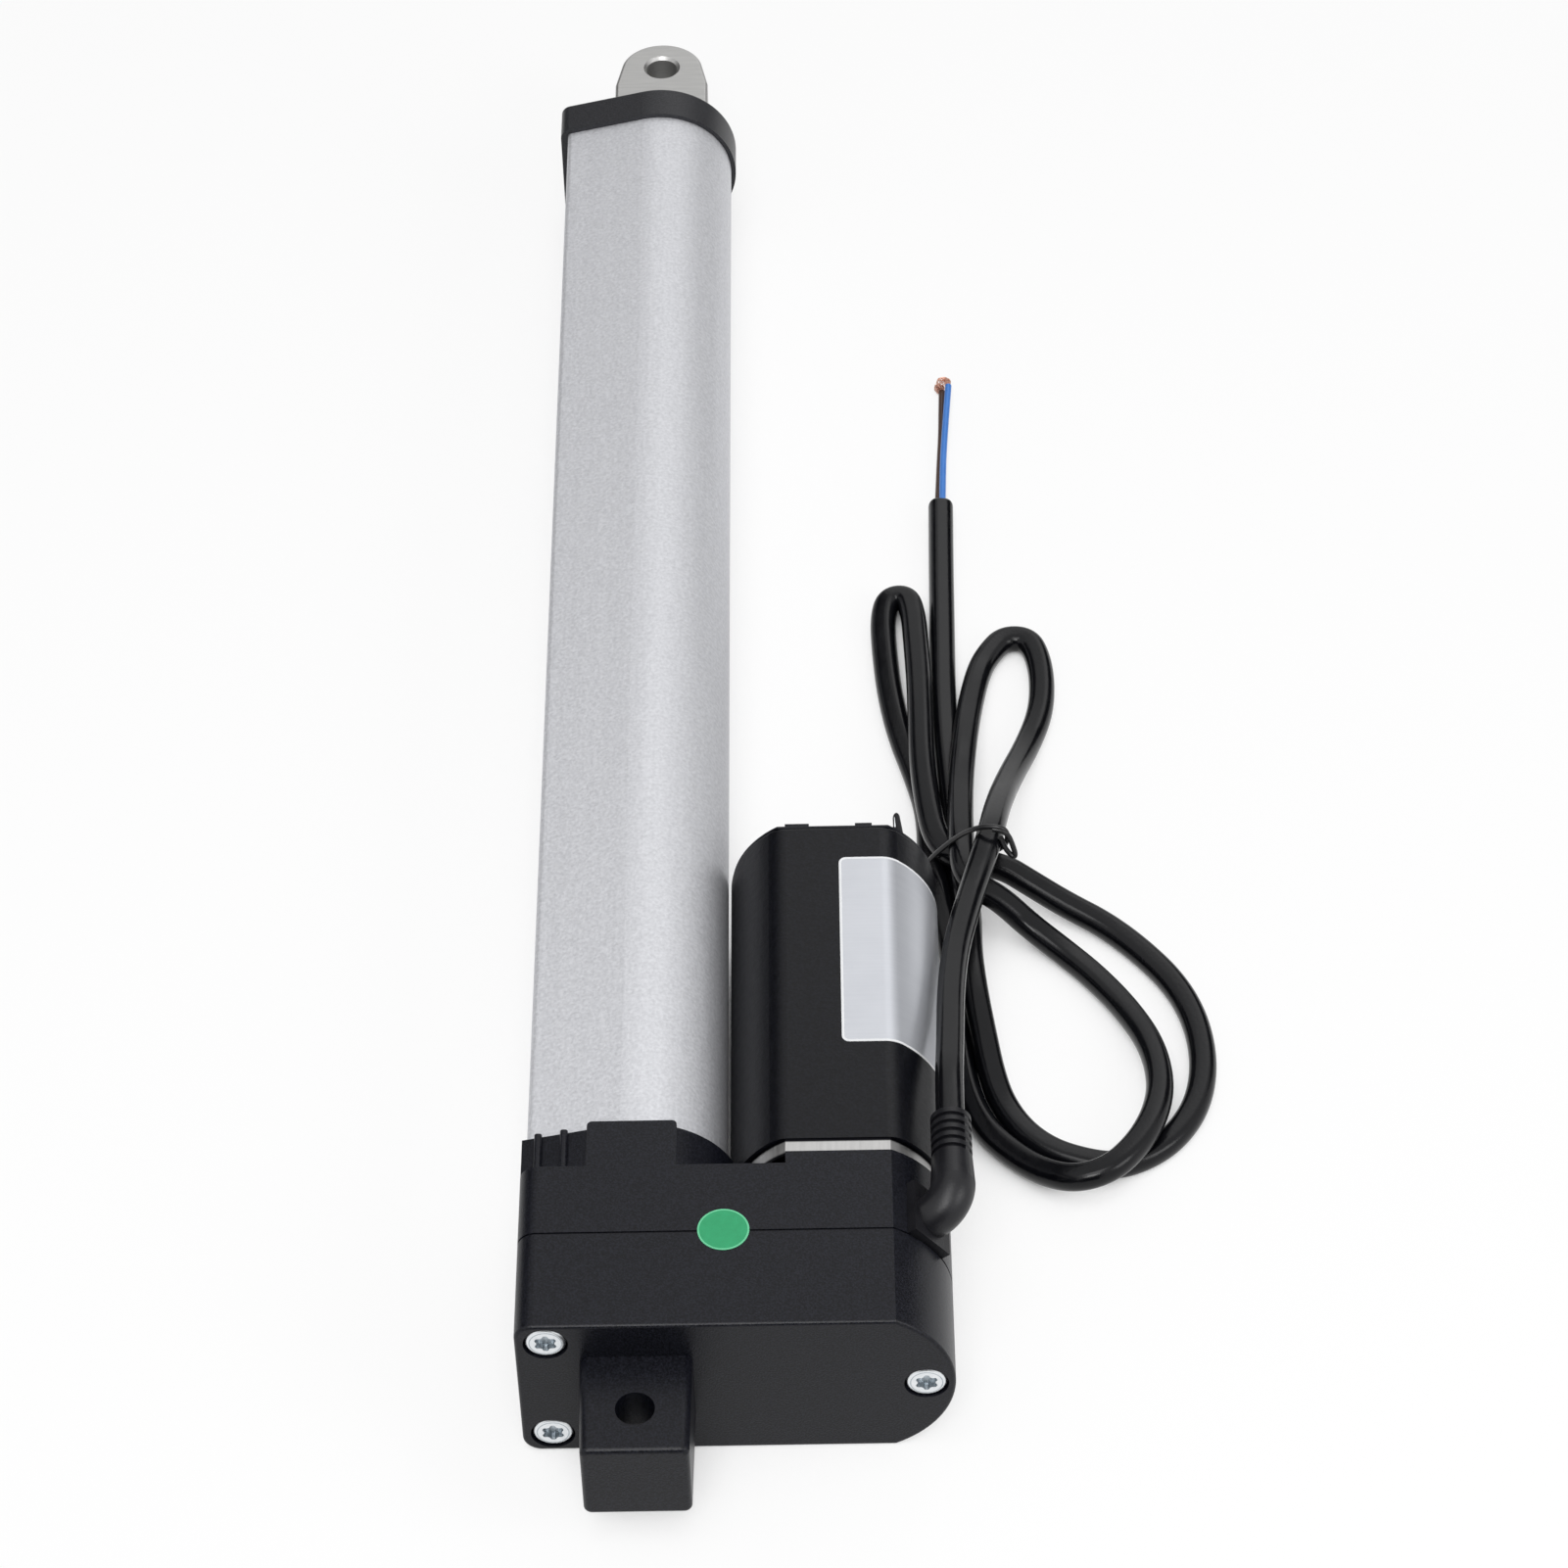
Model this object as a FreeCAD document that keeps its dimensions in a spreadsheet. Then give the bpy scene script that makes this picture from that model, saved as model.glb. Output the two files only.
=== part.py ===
"""Electric linear actuator: a screw-driven push rod with a side motor and a two-stage spur gearbox.

The frame has its origin at the centre of the rear mounting hole. Y runs along the stroke towards the
rod, X runs from the push rod's axis to the motor's, and Z is up. The rod is modelled fully retracted.
"""
import FreeCAD, Part
import math
import os
import Sketcher

# Driving sizes in millimetres, each with a name and a note. Places along the stroke are Y values.
DRIVING_SIZES = [
    ("stroke", 250, "travel of the rod"),
    ("closed_allowance", 105, "hole to hole when retracted, less the stroke"),
    ("mount_hole_radius", 3.25, "both mounting holes"),
    ("running_clearance", 0.08, "radial gap of a part that turns or slides in another"),
    ("seat_clearance", 0.05, "gap of a part that is pushed into its seat"),
    ("press_gap", 0.01, "gap of a part that is pressed on a shaft"),
    ("end_gap", 0.9, "gap at the end of a part that turns or slides"),
    ("joint_overlap", 0.5, "how far a boss or rib starts inside the wall that carries it"),
    ("case_height", 33, "gearbox, bottom to top"),
    ("case_left", 19.7, "rod axis to the gearbox's left wall"),
    ("case_end_bulge", 2.25, "rounded end of the gearbox beyond half its height, about the motor axis"),
    ("case_wall", 2.6, "side walls of the gearbox"),
    ("case_corner", 3.2, "upright corners on the left of the gearbox"),
    ("case_edge_round", 0.6, "edge of the rear face"),
    ("rear_face", 10.5, "rear face of the gearbox"),
    ("rear_wall", 2.8, "thickness of the rear wall"),
    ("parting_face", 30, "where cover and housing meet"),
    ("gasket_thickness", 0.4, "gasket between cover and housing"),
    ("gasket_inset", 0.35, "gasket's outer edge below the case's surface"),
    ("case_front", 44.3, "front face of the gearbox"),
    ("front_wall", 2.8, "thickness of the front wall"),
    ("tang_reach", 8.5, "end of the tang behind the hole"),
    ("tang_root_width", 18.6, "tang at the rear face"),
    ("tang_end_width", 17.7, "tang at its end"),
    ("tang_thickness", 17, "tang, bottom to top"),
    ("tang_round", 1.4, "long edges of the tang"),
    ("tang_end_round", 0.9, "end edges of the tang"),
    ("cover_screw_x", 14.6, "left cover screws from the rod axis"),
    ("cover_screw_z", 12, "left cover screws above and below the rod axis"),
    ("cover_screw_end", 4.85, "right cover screw from the case's round end"),
    ("cover_screw_radius", 1.5, "shank of a cover screw"),
    ("cover_head_radius", 3.45, "head of a cover screw"),
    ("cover_head_height", 2.2, "head of a cover screw"),
    ("cover_recess_depth", 2.4, "recess of a cover screw's head"),
    ("cover_recess_gap", 0.25, "round the head in its recess"),
    ("cover_head_edge", 0.5, "chamfer of a cover screw's head"),
    ("cover_socket_depth", 1.1, "driving socket of a cover screw"),
    ("screw_end_stop", 1, "end of a cover screw to the bottom of its socket"),
    ("screw_boss_wall", 1.5, "round a screw in its boss"),
    ("tube_radius", 14.65, "outside of the tube about the rod axis"),
    ("tube_flat", 19.1, "rod axis to the tube's flat side"),
    ("tube_slope", 12.7, "degrees between the tube's two sloping sides and level"),
    ("tube_bore", 12.3, "bore that the nut runs in"),
    ("tube_corner", 1.2, "corners beside the tube's flat side"),
    ("channel_wall", 1.6, "flat side to the switch channel"),
    ("channel_half_height", 4.2, "switch channel above and below the axis"),
    ("screw_port_x", 15.2, "cap screw ports from the rod axis"),
    ("screw_port_z", 7.6, "cap screw ports above and below the axis"),
    ("cap_screw_radius", 1.25, "shank of a cap screw"),
    ("cap_head_radius", 2.4, "head of a cap screw"),
    ("cap_head_height", 1.4, "countersunk head of a cap screw"),
    ("cap_head_edge", 0.2, "straight edge of a cap screw's head"),
    ("cap_screw_length", 12, "cap screw with its head"),
    ("collar_front", 53, "front edge of the collar that holds the tube"),
    ("collar_radius", 17, "outside of the collar about the rod axis"),
    ("tab_front", 54, "front edge of the collar's tab"),
    ("tab_left", 8.6, "tab to the left of the rod axis"),
    ("tab_right", 6.5, "tab to the right of the rod axis"),
    ("tab_round", 0.9, "front corners of the tab"),
    ("rib_count", 2, "grip ribs on the collar"),
    ("rib_first", 12.5, "first rib from the rod axis"),
    ("rib_pitch", 4.4, "rib to rib"),
    ("rib_width", 1.3, "width of a rib"),
    ("rib_height", 1.1, "height of a rib"),
    ("rib_root", 1, "depth of a rib in the collar"),
    ("rib_round", 0.5, "long edges of a rib"),
    ("platform_left", 24.7, "left edge of the motor platform"),
    ("platform_front", 46.8, "front face of the motor platform"),
    ("eye_standoff", 18.5, "front cap to the front hole when retracted"),
    ("cap_length", 8.6, "outside length of the front cap"),
    ("cap_wall", 2.6, "front wall of the cap"),
    ("cap_rim", 0.95, "rim of the cap round the tube"),
    ("cap_flat_rim", 1.5, "rim of the cap at the tube's flat side"),
    ("cap_round", 0.8, "edges of the cap"),
    ("cap_rod_gap", 0.3, "cap's wall round the rod"),
    ("guide_length", 11, "guide bush inside the tube"),
    ("wiper_width", 1.5, "wiper seal along the rod"),
    ("wiper_depth", 1.6, "wiper seal round the rod"),
    ("wiper_lip", 0.5, "lip of the wiper seal in front of the cap"),
    ("wiper_lip_width", 0.6, "lip of the wiper seal, across and along the rod"),
    ("wiper_relief", 0.3, "wiper seal's bore behind its lip"),
    ("rod_radius", 10, "outside of the push rod"),
    ("rod_bore", 8.25, "inside of the push rod"),
    ("nut_rear", 50.5, "rear face of the nut when retracted"),
    ("nut_flange_length", 8, "part of the nut that runs in the tube"),
    ("nut_spigot_length", 9.5, "part of the nut inside the rod"),
    ("nut_key_reach", 13.4, "key of the nut in the switch channel, from the axis"),
    ("nut_key_root", 2, "depth of the key in the nut"),
    ("nut_pin_radius", 1.25, "pins through rod and nut, and rod and eye"),
    ("pin_sink", 0.3, "ends of the pins below the rod's surface"),
    ("pin_thread_gap", 0.2, "nut's pins to its bore"),
    ("eye_plain_length", 2.5, "round part of the eye in front of the cap"),
    ("eye_half_thickness", 6.9, "flats of the eye above and below the axis"),
    ("eye_half_width", 9.75, "straight sides of the eye from the axis"),
    ("eye_shoulder", 5.5, "end of the straight sides behind the hole"),
    ("eye_nose_radius", 8.6, "round nose of the eye"),
    ("eye_nose", 8.1, "tip of the eye in front of the hole"),
    ("eye_edge_round", 0.7, "long edges of the eye"),
    ("eye_spigot_length", 13.5, "part of the eye inside the rod"),
    ("eye_chamfer", 0.6, "edge of the front hole"),
    ("screw_radius", 6, "thread of the lead screw"),
    ("screw_end_reach", 0.6, "rear end of the lead screw behind the rear face"),
    ("screw_end_room", 1.5, "recess for the lead screw's end behind the rear face"),
    ("screw_end_gap", 2.6, "recess round the lead screw's end"),
    ("guide_stop", 1, "front end of the lead screw to the eye"),
    ("guide_stop_ring", 0.4, "lead screw's end beyond its guide"),
    ("journal_radius", 4, "lead screw in bearing and gear"),
    ("shoulder_radius", 4.6, "lead screw in front of its gear"),
    ("screw_bush_wall", 2.4, "bush round the lead screw's shoulder"),
    ("screw_bush_boss_wall", 1.8, "boss round that bush"),
    ("washer_width", 2, "thrust washer beyond the thread"),
    ("washer_gap", 0.15, "thrust washer to the housing"),
    ("bearing_radius", 11, "ball bearing, outside"),
    ("bearing_width", 7, "ball bearing"),
    ("bearing_back", 2.5, "rear face to the bearing"),
    ("bearing_boss_wall", 2.1, "boss round the bearing"),
    ("race_wall", 2, "thickness of the bearing's two rings"),
    ("race_depth", 0.6, "balls in the rings' grooves"),
    ("race_gap", 0.02, "balls to the rings"),
    ("ring_thickness", 1, "retaining rings"),
    ("ring_gap", 0.1, "retaining ring to the bearing"),
    ("ring_grip", 0.6, "bearing's retaining ring in its groove"),
    ("ring_groove", 0.7, "depth of that groove"),
    ("first_module", 0.8, "motor pinion and idler wheel"),
    ("motor_pinion_teeth", 10, "teeth"),
    ("idler_wheel_teeth", 30, "teeth"),
    ("final_module", 1, "idler pinion and screw gear"),
    ("idler_pinion_teeth", 11, "teeth"),
    ("screw_gear_teeth", 24, "teeth"),
    ("tooth_shift", 0.3, "profile shift of the pinions, as a share of the module"),
    ("tooth_backlash", 0.12, "taken off each tooth's thickness"),
    ("screw_gear_rear", 22.6, "rear face of the screw gear's teeth"),
    ("screw_gear_front", 29.2, "front face of the screw gear"),
    ("idler_rear", 22.3, "rear end of the idler"),
    ("idler_wheel_rear", 31, "rear face of the idler wheel"),
    ("idler_wheel_front", 35.6, "front face of the idler wheel"),
    ("idler_front", 37.6, "front end of the idler's hub"),
    ("idler_hub_radius", 4.2, "idler's front hub"),
    ("gear_hub_wall", 1.7, "screw gear's hub round the lead screw"),
    ("pinion_overhang", 0.6, "motor pinion beyond the idler wheel, each side"),
    ("pinion_hole_gap", 2.2, "hole in the housing round the motor pinion's pitch circle"),
    ("axle_radius", 2, "idler axle"),
    ("axle_boss_radius", 4.8, "bosses that hold the idler axle"),
    ("axle_boss_gap", 0.4, "boss to the idler's end"),
    ("axle_floor", 1.2, "wall behind the axle's holes"),
    ("axle_end_gap", 0.1, "axle to the bottom of its holes"),
    ("motor_radius", 18.4, "motor can"),
    ("motor_half_height", 15.5, "flats of the motor can above and below its axis"),
    ("motor_wall", 1.5, "wall of the motor can"),
    ("motor_side_gap", 0.55, "motor can to the collar beside it"),
    ("motor_crease", 5, "bends beside the flats of the motor can"),
    ("motor_can_round", 0.6, "far edge of the motor can"),
    ("motor_plate", 3.6, "thickness of the motor's front plate"),
    ("motor_plate_inset", 0.7, "front plate inside the can's outline, round its sides"),
    ("motor_plate_drop", 0.15, "front plate below the can's flats"),
    ("motor_can_length", 72, "motor can"),
    ("motor_lip", 0.5, "end cap beyond the can"),
    ("motor_lip_inset", 0.2, "end cap inside the can's outline"),
    ("motor_spigot", 3.5, "end cap inside the can"),
    ("motor_boss_wall", 2, "end cap's boss round its bush"),
    ("motor_boss_reach", 1.4, "end cap's boss beyond the can"),
    ("motor_lug_height", 0.8, "lugs of the end cap"),
    ("motor_bush_wall", 3.2, "bushes round the motor shaft"),
    ("motor_bush_rear", 1, "front bush behind the motor's plate"),
    ("motor_bush_front", 2, "front bush in front of the motor's plate"),
    ("motor_bush_end", 0.4, "rear bush beyond the can"),
    ("shaft_radius", 1.59, "motor shaft"),
    ("shaft_end", 0.2, "motor shaft's end inside the can"),
    ("motor_screw_spread", 10.5, "motor screws above and below the motor axis"),
    ("motor_screw_radius", 1.5, "shank of a motor screw"),
    ("motor_head_height", 2.2, "head of a motor screw"),
    ("motor_head_width", 1.2, "head of a motor screw beyond its shank"),
    ("armature_radius", 12.6, "armature core"),
    ("magnet_gap", 0.5, "armature to magnets"),
    ("magnet_half_angle", 50, "degrees of each magnet above and below its middle"),
    ("core_rear", 62, "armature core, gearbox end"),
    ("core_front", 100, "armature core, far end"),
    ("coil_reach", 6.5, "coil heads beyond the core"),
    ("commutator_radius", 5.5, "commutator"),
    ("commutator_rear", 108.5, "commutator, gearbox end"),
    ("commutator_front", 116.5, "commutator, far end"),
    ("riser_height", 1.2, "commutator's risers"),
    ("riser_width", 1.5, "commutator's risers along the shaft"),
    ("rear_bush_gap", 1.2, "commutator to the rear bush"),
    ("core_slot_middle", 0.62, "middle of a slot, as a share of the core's radius"),
    ("core_slot_size", 0.25, "radius of a slot, as a share of the core's radius"),
    ("core_slot_mouth", 0.8, "half the opening of a slot"),
    ("coil_shaft_gap", 1.6, "coil heads round the shaft"),
    ("coil_inset", 0.4, "coil heads inside the slots' outer edge"),
    ("coil_gap", 0.1, "coil heads to the core"),
    ("coil_bar_gap", 0.2, "wire in a slot to its wall"),
    ("coil_bar_reach", 1, "wire of a slot in the coil heads"),
    ("coil_round", 1.5, "edges of the coil heads"),
    ("magnet_reach", 2, "magnets beyond the core, each end"),
    ("brush_holder_gap", 0.8, "brush holders to the commutator"),
    ("brush_holder_inset", 0.6, "brush holders inside the armature's radius"),
    ("brush_holder_half", 3.6, "half the width of a brush holder"),
    ("brush_holder_start", 0.6, "brush holders in front of the commutator's rear"),
    ("brush_slot_half", 2.1, "half the width of a brush's slot"),
    ("brush_slot_wall", 1.2, "brush holder outside its slot"),
    ("brush_slot_end", 1, "end of a brush's slot behind the commutator's front"),
    ("brush_half", 2, "half the width of a brush"),
    ("brush_gap", 0.12, "brush to the commutator"),
    ("brush_back", 1.4, "back of a brush inside its holder"),
    ("brush_start", 0.9, "brush in front of the commutator's rear"),
    ("brush_trim", 2.6, "commutator's length less a brush's"),
    ("terminal_across", 11.5, "terminals from the motor axis, across"),
    ("terminal_up", 10.2, "terminals from the motor axis, up"),
    ("terminal_thickness", 0.8, "terminals"),
    ("terminal_width", 2.6, "terminals"),
    ("terminal_reach", 6.4, "terminals beyond the end cap"),
    ("terminal_round", 1.1, "ends of the terminals"),
    ("board_thickness", 0.8, "limit switch board"),
    ("switch_thickness", 2.6, "limit switch on its board"),
    ("switch_length", 12, "limit switch along the tube"),
    ("switch_half_width", 3, "half the width of a limit switch"),
    ("plunger_half", 1, "half the plunger of a limit switch, both ways"),
    ("plunger_reach", 0.3, "plunger of a limit switch"),
    ("board_inset", 2, "limit switch board from the ends of its channel"),
    ("relief_angle", 39, "degrees of the strain relief above level, about the motor axis"),
    ("relief_sink", 0.6, "flat that the strain relief's plate sits on, below the gearbox's rounded end"),
    ("relief_width", 9, "plate of the strain relief round the gearbox"),
    ("relief_length", 10.5, "plate of the strain relief along the gearbox"),
    ("relief_plate", 1.7, "thickness of the plate"),
    ("relief_radius", 3.75, "elbow of the strain relief"),
    ("relief_tail_radius", 3.45, "ribbed end of the strain relief"),
    ("relief_bend", 4.5, "bend of the elbow at its middle"),
    ("relief_standoff", 5.7, "ribbed end's axis from the gearbox's rounded end"),
    ("relief_end", 54, "end of the strain relief"),
    ("relief_end_ring", 1, "last ring of the ribbed end"),
    ("relief_grooves", 5, "grooves of the ribbed end"),
    ("relief_groove_pitch", 1.7, "groove to groove"),
    ("relief_groove_width", 0.8, "width of a groove"),
    ("relief_groove_depth", 0.6, "depth of a groove"),
    ("relief_groove_slant", 0.01, "slant of a groove's walls"),
    ("relief_web", 1.1, "webs across the grooves, on the sides towards and away from the gearbox"),
    ("relief_web_sink", 0.06, "webs below the edges of the grooves"),
    ("cord_radius", 2.3, "sheath of the cord"),
    ("lead_radius", 0.65, "the two leads at the cord's end"),
    ("tie_radius", 0.42, "wire tie round the cord"),
    ("cord_straight", 8.5, "straight run of the cord from the strain relief"),
]

# Routes of the cord and its leads, as points across from the motor axis, along, and up from the table.
# The cord comes down from the strain relief over its own bundle, makes a loop up, one round, another loop
# up, another round, and goes out to its free end. It passes the wire tie five times.
CORD_ROUTE = [
    (19.6, 75.2, 28.3), (20.1, 89.1, 24.8), (21.3, 101.7, 21.8), (23.5, 112.9, 19.6), (25.7, 122.4, 18.1),
    (28.7, 131.3, 18.6), (31.2, 144.8, 13.8), (33.6, 158.4, 7.2), (37, 170.2, 3), (39.9, 179.4, 2.3),
    (40.8, 187.7, 2.3), (40.5, 194.8, 2.3), (39.1, 200.7, 2.3), (33.1, 200.7, 2.3), (30.1, 196.5, 2.3),
    (28.1, 192.2, 2.3), (26.7, 181.6, 3.6), (25.4, 170, 5.9), (24.4, 158.5, 7), (25, 147.3, 7.7),
    (26, 137.8, 8), (30.4, 131.1, 5.8), (34.5, 125.4, 2.9), (40.9, 119.6, 2.4), (47.1, 111.9, 2.5),
    (52.3, 103.4, 3.2), (56.1, 93.8, 4.5), (57.2, 84, 5.7), (55.7, 75.8, 6.9), (52.2, 68.6, 7.3),
    (47.1, 63, 7.3), (40.9, 61.9, 6.1), (35.4, 65.8, 3.5), (30.3, 71.1, 2.3), (25.7, 76.9, 2.3),
    (23, 85.1, 2.3), (22, 95.1, 2.3), (22.1, 106.2, 2.3), (21.7, 117.1, 2.3), (19.9, 128.5, 3),
    (18, 141.2, 3.4), (18.1, 153.2, 2.3), (16, 163.5, 2.3), (13.2, 173.9, 2.3), (11.4, 185.3, 2.3),
    (10.6, 197.4, 2.3), (10.4, 205.4, 2.4), (10.5, 211.5, 2.6), (16.1, 211.3, 3.1), (16.4, 205.4, 3.8),
    (16.6, 199.2, 4.5), (17, 187, 5.7), (17, 175.8, 6.7), (17.3, 163.3, 7.1), (17.7, 150.9, 8.1),
    (20.3, 144.3, 11.4), (25.2, 138, 12.9), (30.9, 133.4, 11.5), (36.5, 130.6, 8.1), (42.5, 128.3, 4.9),
    (49.2, 124.9, 2.6), (55.4, 118.6, 2.3), (60.9, 110.2, 2.3), (64.4, 101.2, 2.3), (65.6, 91.2, 2.3),
    (63.9, 81.9, 2.3), (59.7, 74.8, 2.3), (54.5, 70.2, 2.3), (48.4, 67.8, 2.3), (43.2, 68.8, 2.3),
    (37.3, 71.3, 2.3), (32.5, 75.9, 2.3), (29.1, 82.4, 2.4), (27.4, 88.6, 3.6), (26.2, 96.4, 5.1),
    (25, 104.8, 6.5), (24.2, 114.7, 6.9), (24.6, 125.6, 5.9), (23.4, 137.3, 3.8), (22.9, 151, 2.4),
    (22.3, 162.3, 2.3), (21.7, 173.8, 2.3), (21.6, 186.7, 2.3), (21.9, 202.3, 2.3), (22.2, 220.7, 2.3),
    (22.6, 239.4, 2.3),
]
BLUE_LEAD_ROUTE = [
    (23, 239.45, 2.75), (23.4, 250.9, 2.2), (24, 259.9, 2.05), (24.7, 268.9, 2), (25.2, 275.1, 2.1),
]
BROWN_LEAD_ROUTE = [
    (22.1, 239.45, 1.45), (22.8, 252.4, 0.8), (23.4, 261.4, 0.7), (23.7, 270.4, 0.7), (23.9, 274.9, 0.7),
]
TIE_ROUTE = [
    (15.7, 136, 0.44), (15.7, 136, 4.3), (26.8, 136, 19.1), (29.5, 136, 20.2),
    (32.7, 136, 18.8), (32.8, 136, 13.5), (30.9, 136, 5.9), (27.5, 136, 0.44),
]

# Gear teeth: angle of the flanks, and heights above and below the pitch circle as shares of the module.
PRESSURE_ANGLE = math.radians(20)
TOOTH_ADDENDUM = 0.9
TOOTH_DEDENDUM = 1.2

# Share of a route's shorter run that the arc at a corner takes up, poles of the motor's armature,
# and room past an edge for a cut.
ARC_SHARE = 0.45
ARMATURE_POLES = 5
CUT_BEYOND = 1

# Lugs on the motor's end cap: left, right, and the depths of their lower and upper sides below the flat.
END_CAP_LUGS = [(-8.5, -4.2, 2.6, 0.4), (4, 7, 2.6, 0.4), (8, 11.3, 3.6, 1.6)]

doc = FreeCAD.newDocument("linear_actuator")
sheet = doc.addObject("Spreadsheet::Sheet", "Sizes")
nodes = {}


class Length:
    """A size that keeps its formula on the sheet beside its present value."""

    def __init__(self, text, value):
        self.text = text
        self.value = value

    def __add__(self, other):
        other = as_length(other)
        return Length(f"({self.text} + {other.text})", self.value + other.value)

    def __radd__(self, other):
        return as_length(other) + self

    def __sub__(self, other):
        other = as_length(other)
        return Length(f"({self.text} - {other.text})", self.value - other.value)

    def __rsub__(self, other):
        return as_length(other) - self

    def __mul__(self, other):
        other = as_length(other)
        return Length(f"({self.text} * {other.text})", self.value * other.value)

    def __rmul__(self, other):
        return as_length(other) * self

    def __truediv__(self, other):
        other = as_length(other)
        return Length(f"({self.text} / {other.text})", self.value / other.value)

    def __neg__(self):
        return Length(f"(-1 * {self.text})", -self.value)


def as_length(value):
    return value if isinstance(value, Length) else Length(f"({value})", value)


def sine(angle):
    return Length(f"sin({angle.text})", math.sin(math.radians(angle.value)))


def cosine(angle):
    return Length(f"cos({angle.text})", math.cos(math.radians(angle.value)))


class Sizes:
    """The sheet's cells, by name."""


def fill_sheet():
    size = Sizes()
    for row, (name, value, note) in enumerate(DRIVING_SIZES, start=1):
        sheet.set(f"A{row}", note)
        sheet.set(f"B{row}", str(value))
        sheet.setAlias(f"B{row}", name)
        setattr(size, name, Length(f"Sizes.{name}", value))
    doc.recompute()
    return size


size = fill_sheet()

# Places and sizes that follow from the driving ones.
front_hole = size.stroke + size.closed_allowance
cap_front = front_hole - size.eye_standoff
cap_rear = cap_front - size.cap_length
tube_end = cap_front - size.cap_wall
guide_rear = tube_end - size.guide_length
case_half_height = size.case_height / 2
case_end_radius = case_half_height + size.case_end_bulge
cover_front = size.parting_face - size.gasket_thickness / 2
housing_rear = size.parting_face + size.gasket_thickness / 2
cavity_rear = size.rear_face + size.rear_wall
cavity_front = size.case_front - size.front_wall
idler_x = size.final_module * (size.idler_pinion_teeth + size.screw_gear_teeth) / 2
motor_x = idler_x + size.first_module * (size.motor_pinion_teeth + size.idler_wheel_teeth) / 2
cover_screws = [
    (-size.cover_screw_x, size.cover_screw_z),
    (-size.cover_screw_x, -size.cover_screw_z),
    (motor_x + case_end_radius - size.cover_screw_end, as_length(0)),
]
screw_boss = size.cover_screw_radius + size.screw_boss_wall
bearing_rear = size.rear_face + size.bearing_back
bearing_front = bearing_rear + size.bearing_width
bearing_boss = size.bearing_radius + size.bearing_boss_wall
screw_bush_radius = size.shoulder_radius + size.screw_bush_wall
screw_bush_rear = size.idler_front + size.end_gap
thread_rear = size.case_front + size.end_gap
nut_shoulder = size.nut_rear + size.nut_flange_length
nut_front = nut_shoulder + size.nut_spigot_length
rod_front = cap_front + size.eye_plain_length / 2
eye_rear = rod_front - size.eye_spigot_length
screw_guide_front = eye_rear - size.guide_stop
screw_guide_rear = nut_front + size.stroke + size.end_gap
motor_plate_front = size.platform_front + size.motor_plate
motor_front = motor_plate_front + size.motor_can_length
channel_floor = size.tube_flat - size.channel_wall
shaft_seat = size.shaft_radius + size.press_gap
pinion_rear = size.idler_wheel_rear - size.pinion_overhang
motor_bush_radius = size.shaft_radius + size.motor_bush_wall
relief_seat = case_end_radius - size.relief_sink
relief_axis = case_end_radius + size.relief_standoff
relief_across = cosine(size.relief_angle)
relief_up = sine(size.relief_angle)
screw_ports = [(-size.screw_port_x, size.screw_port_z), (-size.screw_port_x, -size.screw_port_z)]


def new_body(name):
    body = doc.addObject("PartDesign::Body", name)
    body.Label = name
    return body


def node(name, part):
    part.Label = name
    nodes[name] = part
    return part


def move(part, x=None, y=None, z=None):
    for axis, length in (("x", x), ("y", y), ("z", z)):
        if length is not None:
            part.setExpression(f"Placement.Base.{axis}", as_length(length).text)
    return part


def new_sketch(body, name, role, offset=None):
    plane = [item for item in body.Origin.OriginFeatures if item.Role == role][0]
    sketch = body.newObject("Sketcher::SketchObject", name + "_sketch")
    sketch.AttachmentSupport = [(plane, "")]
    sketch.MapMode = "FlatFace"
    if offset is not None:
        sketch.setExpression("AttachmentOffset.Base.z", offset.text)
    return sketch


def hold(sketch, constraint, length):
    """Add a sized constraint and tie it to its formula."""
    index = sketch.addConstraint(Sketcher.Constraint(*constraint, length.value))
    sketch.setExpression(f"Constraints[{index}]", length.text)


def hold_point(sketch, geometry, position, across, up):
    """Place one point of a sketch from its origin."""
    for kind, axis, length in (("DistanceX", -2, as_length(across)), ("DistanceY", -1, as_length(up))):
        if length.value == 0:
            sketch.addConstraint(Sketcher.Constraint("PointOnObject", geometry, position, axis))
        else:
            hold(sketch, (kind, -1, 1, geometry, position), length)


def draw_outline(sketch, points):
    """Closed outline of straight lines through points."""
    points = [(as_length(across), as_length(up)) for across, up in points]
    corners = [FreeCAD.Vector(across.value, up.value, 0) for across, up in points]
    first = sketch.GeometryCount
    count = len(points)
    for index in range(count):
        sketch.addGeometry(Part.LineSegment(corners[index], corners[(index + 1) % count]), False)
    for index in range(count):
        following = first + (index + 1) % count
        sketch.addConstraint(Sketcher.Constraint("Coincident", first + index, 2, following, 1))
    for index, (across, up) in enumerate(points):
        hold_point(sketch, first + index, 1, across, up)


def draw_box(sketch, left, bottom, right, top):
    draw_outline(sketch, [(left, bottom), (right, bottom), (right, top), (left, top)])


def draw_circle(sketch, across, up, radius):
    across, up = as_length(across), as_length(up)
    centre = FreeCAD.Vector(across.value, up.value, 0)
    circle = sketch.addGeometry(Part.Circle(centre, FreeCAD.Vector(0, 0, 1), radius.value), False)
    hold(sketch, ("Radius", circle), radius)
    hold_point(sketch, circle, 3, across, up)


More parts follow.
